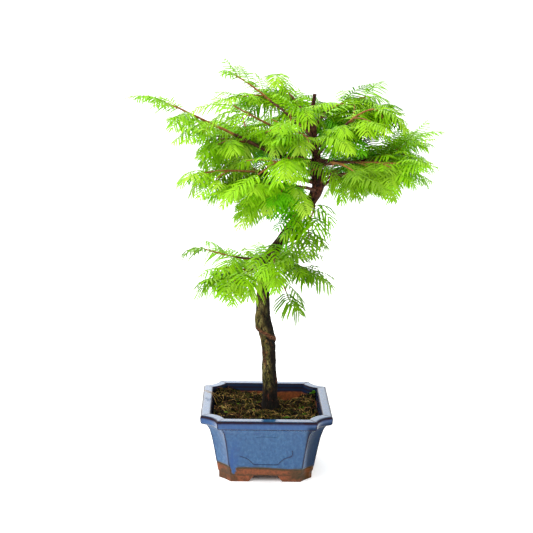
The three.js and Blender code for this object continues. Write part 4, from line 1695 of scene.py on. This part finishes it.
@dataclass
class Needles:
    """Flat soft needles, gathered by tint."""

    spacing: float = 3.3
    width: float = 2.0
    piece_limit: int = 180_000
    crease: float = 0.16
    # share of a spray's length at which its young needles start
    young: float = 0.72
    # share of a needle's length, and of its full width there
    sections: Table = ((0.0, 0.45), (0.26, 1.0), (0.78, 0.86))
    skins: dict[Tint, list[Skin]] = field(default_factory=lambda: {tint: [Skin()] for tint in Tint})
    count: int = 0

    @staticmethod
    def share(s: Points) -> Points:
        """Share of the full needle length along a spray."""
        rise = 0.62 + 0.38 * np.minimum(1, s / 0.25)
        return rise * np.where(s < 0.45, 1, 1 - 0.62 * (np.maximum(s - 0.45, 0) / 0.55) ** 1.4)

    def template(self) -> tuple[Points, Points]:
        """Faces of one needle.

        Returns:
            Its quads and its triangles.
        """
        rows = len(self.sections)
        quads = []
        for r in range(rows - 1):
            for c in (0, 1):
                quads.append([3 * r + c, 3 * r + c + 1, 3 * r + c + 4, 3 * r + c + 3])
        last, tip = 3 * (rows - 1), 3 * rows
        return np.array(quads), np.array([[last, last + 1, tip], [last + 1, last + 2, tip]])

    def blades(self, root: Points, out: Points, ahead: Points, length: Points, sag: Points,
               bold: float) -> Points:
        """Points of many needles at once.

        Args:
            root: Feet of the needles.
            out: Directions that they leave in.
            ahead: Direction of the spray at each foot.
            length: Lengths.
            sag: How far each tip sinks, as a share of its length.
            bold: How much wider than the common ones they are.

        Returns:
            Array of needles, points and coordinates.
        """
        across = unit(ahead - out * np.sum(ahead * out, -1, keepdims=True))
        over = np.cross(out, across)
        over = over * np.where(over[:, 2:] < 0, -1.0, 1.0)
        down = -0.75 * UP - 0.25 * over
        wide = np.minimum(self.width * bold, 0.14 * length + 0.5)

        def middle(u: float) -> Points:
            """Middle of every needle at a share of its length."""
            bend = (sag * u * u)[:, None] * down + (0.12 * u * u) * across
            return root + (out * u + bend) * length[:, None]

        parts = []
        for u, share in self.sections:
            centre = middle(u)
            edge = across * (wide * share / 2)[:, None]
            fold = over * (wide * share * self.crease)[:, None]
            parts += [centre - edge + fold, centre - fold * 0.3, centre + edge + fold]
        parts.append(middle(1.0))
        return np.stack(parts, 1)

    def add(self, spray: Spray, old: Tint, new: Tint) -> None:
        """Grows a spray's needles.

        Args:
            spray: The spray.
            old: Tint of the older needles.
            new: Tint of those near its tip.
        """
        pairs = max(4, int(spray.length / (self.spacing * spray.bold)))
        k = np.arange(pairs)
        s = (k + 0.8) / (pairs + 0.3)
        point, way, side = spray.at(s)
        blocks, places = [], []
        for sign in (-1, 1):
            jitter = between(-7, 7, spray.key, k, sign)
            lean = np.radians(76 - 30 * s + jitter)[:, None]
            tilt = np.radians(between(-11, 11, spray.key, k, sign + 7))[:, None]
            length = spray.reach * self.share(s) * between(0.88, 1.08, spray.key, k, sign + 3)
            up = np.cross(side, way)
            out = way * np.cos(lean) + (side * np.cos(tilt) + up * np.sin(tilt)) * sign * np.sin(lean)
            out = out + up * np.sign(up[:, 2:]) * 0.10
            sag = spray.sag * between(0.7, 1.3, spray.key, k, sign + 9)
            foot = point + way * (0.9 * sign * chance(spray.key, k, 13))[:, None] * 0.5
            blocks.append(self.blades(foot, unit(out), way, length, sag, spray.bold))
            places.append(s)
        blocks.append(self.blades(point[-1:], way[-1:], side[-1:], np.array([spray.reach * 0.42]),
                                  np.array([0.15]), spray.bold))
        places.append(np.array([1.0]))
        self.put(np.concatenate(blocks), np.concatenate(places), old, new)

    def put(self, blades: Points, places: Points, old: Tint, new: Tint) -> None:
        """Puts needles into the skins of their tints.

        Args:
            blades: Array of needles, points and coordinates.
            places: Their places, as shares of the spray's length.
            old: Tint of the older needles.
            new: Tint of those near the tip.
        """
        quads, triangles = self.template()
        corners = blades.shape[1]
        for tint, chosen in ((old, places < self.young), (new, places >= self.young)):
            picked = blades[chosen]
            starts = (np.arange(len(picked)) * corners)[:, None, None]
            faces = 2 * len(quads) + len(triangles)
            if self.skins[tint][-1].count / corners * faces > self.piece_limit:
                self.skins[tint].append(Skin())
            self.skins[tint][-1].add(picked.reshape(-1, 3), (quads + starts).reshape(-1, 4),
                                     (triangles + starts).reshape(-1, 3))
        self.count += len(blades)


@dataclass
class Crown:
    """All boughs, shoots and sprays, grown by one seeded rule from the boughs' plan."""

    place: Points
    trunk: Trunk
    boughs: list[Bough]
    wood: Skin = field(default_factory=Skin)
    shoots: Skin = field(default_factory=Skin)
    stalks: Skin = field(default_factory=Skin)
    needles: Needles = field(default_factory=Needles)
    sprays: int = 0
    # lowest and highest level of the trunk that shows through the crown, and the room round it
    open_trunk: Triple = (340, 408, 13.0)
    # first and last share of each bough that shows, and the room round it
    open_boughs: dict[str, Triple] = field(default_factory=lambda: {
        "far_left": (0.34, 0.66, 6.0), "low_left": (0.45, 0.9, 6.0), "front_right": (0.1, 0.85, 3.5),
        "low_right": (0.1, 0.5, 4.0), "far_right": (0.5, 0.8, 3.0), "high_left": (0.4, 0.95, 7.0),
        "mid_left": (0.5, 0.98, 7.0), "upper_right": (0.5, 0.98, 5.0), "bottom_left": (0.2, 0.9, 6.0),
    })
    # sprays at the trunk's bend: height, degrees to the right of straight forward, length
    apron: Table = ((275, -10, 52), (266, 30, 42), (262, -38, 44))
    # share of sprays that may stand before open wood all the same
    strays: float = 0.03
    # number of twigs for each fullness
    twigs: tuple[int, int, int, int] = (0, 2, 3, 4)
    # number of tints, from the first on, that inner shoots have
    inner_tints: int = 4
    # level that parts the low cluster from the crown, and the middle and half size of each
    parting: float = 300
    cluster_span: Table = ((-14, -6, 262), (62, 56, 40))
    crown_span: Table = ((36, -2, 388), (150, 118, 88))
    stretches: list[tuple[Points, Points, float]] = field(default_factory=list)

    def limb(self, bough: Bough) -> Limb:
        """A bough's limb from the trunk's centre to its tip, with small kinks.

        Args:
            bough: The bough.

        Returns:
            The limb.
        """
        root = self.trunk.at(bough.height)[0]
        tip = np.array(bough.tip, float)
        pull = 2 * np.array(bough.elbow, float) - (root + tip) / 2
        t = np.linspace(0, 1, 120)[:, None]
        line = (1 - t) ** 2 * root + 2 * t * (1 - t) * pull + t * t * tip
        kink = np.stack([noise(line, 15, bough.seed + axis) for axis in (1, 2, 3)], -1)
        line = line + kink * 0.9 * np.sin(np.pi * np.minimum(1, t * 1.02))
        return Limb(line)

    @staticmethod
    def radius(length: float, share: Points) -> Points:
        """Radius of a limb at a share of its length."""
        return (1.2 + length / 150) * (1 - 0.66 * share)

    def grow_wood(self, bough: Bough, limb: Limb) -> None:
        """Adds a bough's bare wood and the shoot that goes on from it.

        Args:
            bough: The bough.
            limb: Its limb.
        """
        length = limb.length
        trunk_radius = self.trunk.at(bough.height)[1] / 2
        young = max(bough.bare + 0.22, 0.55)
        parts = ((self.wood, 0.3 * trunk_radius / length, young, 10), (self.shoots, young, 1.0, 7))
        for skin, low, high, sides in parts:
            share = np.linspace(low, high, max(6, int((high - low) * length / 1.6)))
            path = limb.on(share)
            away = share * length - trunk_radius
            collar = 0.7 * np.exp(-np.maximum(away, 0) / 4.5)
            knuckles = 0.10 * np.maximum(0, np.sin(share * bough.sprays * 2 * np.pi)) ** 4
            radius = self.radius(length, share) * (1 + collar + knuckles) * np.where(share > 0.985, 0.7, 1)
            spots = np.repeat(path[:, None], sides, 1) + np.arange(sides)[None, :, None] * 3.1
            add_tube(skin, path, radius[:, None] * (1 + 0.10 * noise(spots, 3.0, 81)), sides)

    def tints_at(self, point: Points, key: int) -> tuple[Tint, Tint]:
        """Tints of a spray by its place, as painted light and shade: paler greens low down and to the left,
        deeper ones far out, at the middle right and at the low cluster's right, and greener ones for inner
        shoots.

        Args:
            point: The spray's middle.
            key: Number that its own share of luck is drawn from.

        Returns:
            Tint of its needles, and of the ones near its tip.
        """
        low = point[2] < self.parting
        middle, half = np.array(self.cluster_span if low else self.crown_span, float)
        x, y, z = (point - middle) / half
        far = float(np.linalg.norm([x, y, z]))
        # age here is the tint level, painted light and shade by place with some luck: the lower, the paler
        if low:
            age = 0.2 + 0.6 * max(x, 0) + 0.4 * max(-x - 0.3, 0)
        else:
            # painted shade: deeper greens in the middle right of the crown, low down
            shaded = math.exp(-(((x - 0.38) / 0.3) ** 2)) * np.clip(0.6 - z, 0, 1)
            age = 0.32 + 0.22 * min(z, 0) + 0.55 * shaded
            age -= 0.04 * max(z, 0) + 0.16 * np.clip(-x - 0.15, 0, 0.6)
        age = float(age + 0.38 * (far - 0.6) + between(-0.17, 0.17, key, 21))
        aside = 0.8 * max(-x - 0.1, 0) + 0.8 * max(z - 0.25, 0)
        near = 0.9 * math.exp(-(((x + 0.18) / 0.16) ** 2)) * np.clip((-z - 0.15) / 0.3, 0, 1)
        # inner shoots get greener tints, as painted light through the needles
        inner = not low and 0.5 - far + 0.5 * y - aside + near + between(-0.2, 0.2, key, 25) > 0
        tints = list(Tint)[:self.inner_tints] if inner else list(Tint)[self.inner_tints:]
        level = int(np.clip(age * len(tints), 0, len(tints) - 1))
        return tints[level], tints[max(level - 1, 0)]

    @staticmethod
    def spray_of(habit: Habit, limb: Limb, k: int, rank: Rank) -> Spray:
        """One side spray by the seeded rule.

        Args:
            habit: How the limb bears its sprays.
            limb: The limb.
            k: The spray's number along the limb.
            rank: Whether it is a main spray or one of the finer ones.

        Returns:
            The spray.
        """
        extra, part, raised, phase = rank.value
        seed, key = habit.seed, k + extra
        share = habit.bare + (1 - habit.bare) * min(0.99, (k + phase) / habit.sprays)
        way = limb.way(share - 1 / limb.length, share + 1 / limb.length)
        side = (1 if k % 2 == 1 else -1) * (-1 if rank is Rank.BETWEEN else 1)
        turn = math.radians(80 - 34 * (k / habit.sprays) + between(-16, 16, seed, key, 1))
        swell = 1 - 0.35 * (k / habit.sprays) ** 2
        length = habit.size * part * swell * between(0.8, 1.15, seed, key, 2)
        return Spray(
            root=limb.on(share), heading=math.atan2(way[1], way[0]) + side * turn, length=float(length),
            lift=math.radians(habit.lift + raised + between(-18, 18, seed, key, 3)),
            droop=math.radians(habit.droop + between(-24, 24, seed, key, 4)),
            curl=math.radians(-side * between(0, 24, seed, key, 5)),
            reach=habit.reach * (0.72 + 0.28 * part) * between(0.9, 1.1, seed, key, 6),
            roll=math.radians(between(-20, 20, seed, key, 7)),
            sag=float(between(0.4, 0.8, seed, key, 8)), key=int(seed * 1000 + key), bold=habit.bold)

    @staticmethod
    def leader_of(habit: Habit, limb: Limb) -> Spray:
        """The spray that goes on from a limb's tip.

        Args:
            habit: How the limb bears its sprays.
            limb: The limb.

        Returns:
            The spray.
        """
        way = limb.way(1 - 2 / limb.length, 1.0)
        rise = math.asin(way[2])
        return Spray(
            root=limb.on(0.985), heading=math.atan2(way[1], way[0]), length=float(habit.leader),
            lift=rise * 0.8 + 0.1,
            droop=math.radians(habit.droop * between(0.4, 0.7, habit.seed, 90, 4)) + max(0.0, rise) * 0.8,
            curl=0.0, reach=habit.reach * 0.95, roll=0.0, sag=0.4, key=habit.seed * 1000 + 999,
            bold=habit.bold)

    def sprays_of(self, habit: Habit, limb: Limb) -> Iterator[Spray]:
        """Every spray of a limb, from its foot outwards.

        Args:
            habit: How the limb bears its sprays.
            limb: The limb.

        Yields:
            The sprays.
        """
        for k in range(habit.sprays):
            yield self.spray_of(habit, limb, k, Rank.MAIN)
            if habit.fullness > 1 or habit.bold < 1.3:
                yield self.spray_of(habit, limb, k, Rank.BETWEEN)
            if habit.fullness > 3 or (habit.fullness > 2 and k % 4 == 0):
                yield self.spray_of(habit, limb, k, Rank.FILL)
        yield self.leader_of(habit, limb)

    def twigs_of(self, bough: Bough, limb: Limb) -> Iterator[tuple[Limb, Habit]]:
        """Side twigs of a bough.

        Args:
            bough: The bough.
            limb: Its limb.

        Yields:
            Each twig's limb and how it bears its sprays.
        """
        count = self.twigs[bough.fullness - 1]
        for j in range(count):
            seed = bough.seed * 11 + j
            side = 1 if j % 2 == 1 else -1
            share = bough.bare + (1 - bough.bare) * (0.10 + 0.72 * (j + chance(seed, 31)) / count)
            way = limb.way(share - 0.02, share + 0.02)
            length = float(between(34, 50, seed, 32) * (1 - 0.3 * share))
            arch = Spray(
                root=limb.on(share), length=length,
                heading=math.atan2(way[1], way[0]) + side * between(0.6, 1.1, seed, 33),
                lift=math.radians(between(-4, 22, seed, 34)), droop=math.radians(between(10, 34, seed, 35)),
                curl=-side * 0.3, reach=0, roll=0, sag=0, key=seed)
            habit = Habit(bare=0.18, sprays=max(3, int(length / 10)), size=34, leader=30, lift=8,
                          droop=0.5 * bough.droop, reach=17, seed=seed, bold=bough.habit().bold)
            yield Limb(arch.course()[0]), habit

    def meets_trunk(self, places: Points) -> bool:
        """Whether a spray would run through the trunk.

        Args:
            places: Places along the spray.

        Returns:
            True where any of them lies in the trunk or within 1.5 mm of it.
        """
        centre, thick = self.trunk.at(places[:, 2])
        inside = np.linalg.norm(places - centre, axis=1) < thick / 2 + 1.5
        return bool(np.any(inside & (places[:, 2] < self.trunk.rows[-1, 0])))

    @staticmethod
    def sighted(places: Points) -> Points:
        """Places brought along the line of sight to the upright plane through the pot's middle."""
        eye = np.array(EYE)
        return eye + (places - eye) * (eye[1] / (eye[1] - places[:, 1]))[:, None]

    def open_stretches(self) -> list[tuple[Points, Points, float]]:
        """Wood that stays in view.

        Returns:
            Its places as sighted, how far back each lies, and the room round it, for each stretch.
        """
        low, high, room = self.open_trunk
        stem = self.trunk.at(np.linspace(low, high, 24))[0]
        stretches = [(self.sighted(stem), stem[:, 1], room)]
        for bough in self.boughs:
            if bough.name in self.open_boughs:
                start, end, room = self.open_boughs[bough.name]
                wood = self.limb(bough).on(np.linspace(start, end, 24))
                stretches.append((self.sighted(wood), wood[:, 1], room))
        return stretches

    def hides_wood(self, places: Points) -> bool:
        """Whether a spray would cover wood that stays in view.

        Args:
            places: Places along the spray.

        Returns:
            True where any of them stands before such wood.
        """
        seen = self.sighted(places)
        for wood, forward, room in self.stretches:
            apart = np.linalg.norm(seen[:, None] - wood[None], axis=-1)
            if np.any((apart < room) & (places[:, None, 1] < forward[None] - 3)):
                return True
        return False

    def grow_sprays(self, sprays: Iterator[Spray]) -> None:
        """Grows the sprays that keep clear of the trunk and, but for a few strays, leave open wood in view.

        Args:
            sprays: All sprays of a limb.
        """
        for spray in sprays:
            places = spray.course()[0][3:]
            kept = chance(spray.key, 23) < self.strays or not self.hides_wood(places)
            if kept and not self.meets_trunk(places):
                self.grow_spray(spray)

    def apron_sprays(self) -> Iterator[Spray]:
        """Short sprays that arch forward from the trunk and hang before its bend.

        Yields:
            The sprays.
        """
        for height, aside, length in self.apron:
            middle, thickness = self.trunk.at(height)
            way = math.radians(aside - 90)
            foot = middle + 0.45 * float(thickness) * np.array([math.cos(way), math.sin(way), 0.0])
            yield Spray(root=foot, heading=way, length=length, lift=0.5, droop=1.9, curl=0.2, reach=18.0,
                        roll=0.1, sag=0.5, key=height, bold=1.4)

    def grow_spray(self, spray: Spray) -> None:
        """Adds a spray's stalk and its needles in the tints of its place.

        Args:
            spray: The spray.
        """
        places, _ = spray.course()
        share = np.linspace(0, 1, len(places))
        add_tube(self.stalks, places, 0.55 - 0.38 * share, 5)
        self.needles.add(spray, *self.tints_at(places[len(places) // 2], spray.key))
        self.sprays += 1

    def build(self) -> None:
        """Grows everything and dresses the pieces."""
        self.stretches = self.open_stretches()
        for bough in self.boughs:
            limb = self.limb(bough)
            self.grow_wood(bough, limb)
            self.grow_sprays(self.sprays_of(bough.habit(), limb))
            for twig, habit in self.twigs_of(bough, limb):
                add_tube(self.shoots, twig.line, 0.95 - 0.5 * twig.steps / twig.length, 6)
                self.grow_sprays(self.sprays_of(habit, twig))
        for spray in self.apron_sprays():
            self.grow_spray(spray)
        LOG.info("%d sprays with %d needles", self.sprays, self.needles.count)
        limbs = [f"bough_{bough.name}" for bough in self.boughs]
        masses = [f"needles_{bough.name}" for bough in self.boughs]
        wood = TwigFinish("bough_wood", (62, 34, 28), (118, 76, 58))
        seat(self.wood.made("bark_boughs", self.place), wood.material(), Slot.BARK, limbs)
        shoot = TwigFinish("young_shoot", (126, 74, 44), (168, 116, 62), 0.6)
        seat(self.shoots.made("young_shoots", self.place), shoot.material(), Slot.BARK, masses)
        stalk = LeafFinish("green_stalk", (128, 176, 34), 0.55)
        seat(self.stalks.made("spray_stalks", self.place), stalk.material(), Slot.NEEDLES, masses)
        for tint, skins in self.needles.skins.items():
            material = LeafFinish(f"needle_{tint.name.lower()}", tint.value).material()
            for number, skin in enumerate(skins):
                if skin.count:
                    piece = skin.made(f"needles_in_{tint.name.lower()}_{number + 1}", self.place)
                    seat(piece, material, Slot.NEEDLES, masses)


# ------------------------ studio
@dataclass
class Studio:
    """White floor, white surround, soft lights and the camera."""

    middle: Points
    foot: Points
    azimuth: float = -0.0238
    pitch: float = 0.2069
    roll: float = 0.0186
    lens: float = 72.34
    sensor: float = 36.0
    backdrop_from: Triple = (-0.25, 0.92, 0.34)
    glow_from: Triple = (-0.75, 0.15, 0.65)
    glow: float = 1.05
    least: float = 0.64
    backdrop: float = 2.5
    backdrop_narrowness: float = 14.0
    # brightness of the surround where the camera sees it
    paper_white: float = 1.05
    floor_size: float = 14.0
    # the paper glows as painted light, which washes out cast shadows; near the pot it stays dark as a
    # painted shadow, from the first to the second distance
    floor_glow: float = 0.34
    shadow_ring: tuple[float, float] = (0.046, 0.062)

    def floor(self) -> None:
        """Makes the floor: paper that glows a little as painted light, but for the place that the pot
        stands on, which stays dark as a painted shadow.
        """
        half = self.floor_size / 2
        mesh = bpy.data.meshes.new("studio_floor")
        corners = [(-half, -half, 0), (half, -half, 0), (half, half, 0), (-half, half, 0)]
        mesh.from_pydata(corners, [], [(0, 1, 2, 3)])
        recipe = Recipe("white_paper")
        recipe.paint(recipe.ramp(recipe.noise(3, 2), (0.4, (250, 250, 250)), (0.6, (253, 253, 253))))
        recipe.set(Roughness=0.9, Specular_IOR_Level=0.1)
        # painted shadow round the pot's foot, painted light beyond it
        away = recipe.maths("VectorMath", "DISTANCE", recipe.places, (*self.foot[:2], 0))
        glow = recipe.value(away, *self.shadow_ring, 0, self.floor_glow)
        recipe.link(glow, recipe.shader, "Emission Strength")
        mesh.materials.append(recipe.material)
        made = placed("studio_floor", mesh)
        made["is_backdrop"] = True

    def light(self, name: str, place: Triple, size: float, watts: float) -> None:
        """Adds a square soft light aimed at the middle of the plant.

        Args:
            name: Its name.
            place: Where it stands, in metres.
            size: Length of its sides in metres.
            watts: Its power.
        """
        lamp = bpy.data.lights.new(name, "AREA")
        lamp.size = size
        lamp.energy = watts
        made = placed(name, lamp)
        made.location = place
        aim = Vector(self.middle) - Vector(place)
        made.rotation_mode = "QUATERNION"
        made.rotation_quaternion = aim.to_track_quat("-Z", "Y")
        made.visible_camera = False

    def sky(self) -> None:
        """White surround that lights from every side."""
        world = bpy.data.worlds.new("white_surround")
        world.use_nodes = True
        sky = Wiring(world.node_tree)
        way = sky.node("TexCoord").outputs["Generated"]

        def towards(direction: Triple) -> Socket:
            """Cosine between the view and a direction."""
            return sky.maths("VectorMath", "DOT_PRODUCT", way, unit(np.array(direction)).tolist())

        lit = sky.maths("Math", "MULTIPLY_ADD", towards(self.glow_from), 0.5, 0.5)
        lit = sky.maths("Math", "MULTIPLY_ADD", sky.maths("Math", "POWER", lit, 1.5), self.glow, self.least)
        behind = sky.maths("Math", "MAXIMUM", towards(self.backdrop_from), 0.0)
        behind = sky.maths("Math", "POWER", behind, self.backdrop_narrowness)
        lit = sky.maths("Math", "ADD", lit, sky.maths("Math", "MULTIPLY", behind, self.backdrop))
        seen = sky.node("LightPath").outputs["Is Camera Ray"]
        lit = sky.maths("Math", "MAXIMUM", lit, sky.maths("Math", "MULTIPLY", seen, self.paper_white))
        background = sky.tree.nodes["Background"]
        sky.link(lit, background, "Strength")
        background.inputs["Color"].default_value = (1, 1, 1, 1)
        bpy.context.scene.world = world

    def camera(self) -> None:
        """Makes the camera, in front of the pot and a little above the crown's middle."""
        az, pitch, roll = self.azimuth, self.pitch, self.roll
        ahead = np.array([-math.sin(az) * math.cos(pitch), math.cos(az) * math.cos(pitch),
                          -math.sin(pitch)])
        right = np.array([math.cos(az), math.sin(az), 0])
        over = np.cross(right, ahead)
        turned = right * math.cos(roll) + over * math.sin(roll)
        upright = over * math.cos(roll) - right * math.sin(roll)
        data = bpy.data.cameras.new("camera")
        data.sensor_width = self.sensor
        data.lens = self.lens
        data.clip_end = 50
        made = placed("camera", data)
        turn = Matrix(np.stack([turned, upright, -ahead], 1).tolist()).to_4x4()
        made.matrix_world = Matrix.Translation(Vector(np.array(EYE) * MM + self.foot)) @ turn
        bpy.context.scene.camera = made

    def build(self) -> None:
        """Sets the whole studio up."""
        self.camera()
        self.floor()
        self.sky()
        self.light("key_left", (-1.6, -0.8, 1.9), 1.7, 29)
        view = bpy.context.scene.view_settings
        view.view_transform = "Standard"
        view.look = "None"


def pot_middle() -> Points:
    """The middle of the pot's footprint in the frame, in metres."""
    low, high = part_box("pot")
    return np.array([(low.x + high.x) / 2, (low.y + high.y) / 2, low.z])


def main() -> None:
    """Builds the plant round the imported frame, in its studio."""
    logging.basicConfig(level=logging.INFO, format="%(name)s %(message)s")
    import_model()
    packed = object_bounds()
    place = pot_middle()
    low, high = packed
    Studio(middle=np.array((low + high) / 2), foot=place).build()
    pot = Pot(place)
    pot.build()
    Soil(place, pot).build()
    trunk = Trunk(place)
    trunk.build(BOUGHS)
    Crown(place, trunk, BOUGHS).build()


if __name__ == "__main__":
    main()
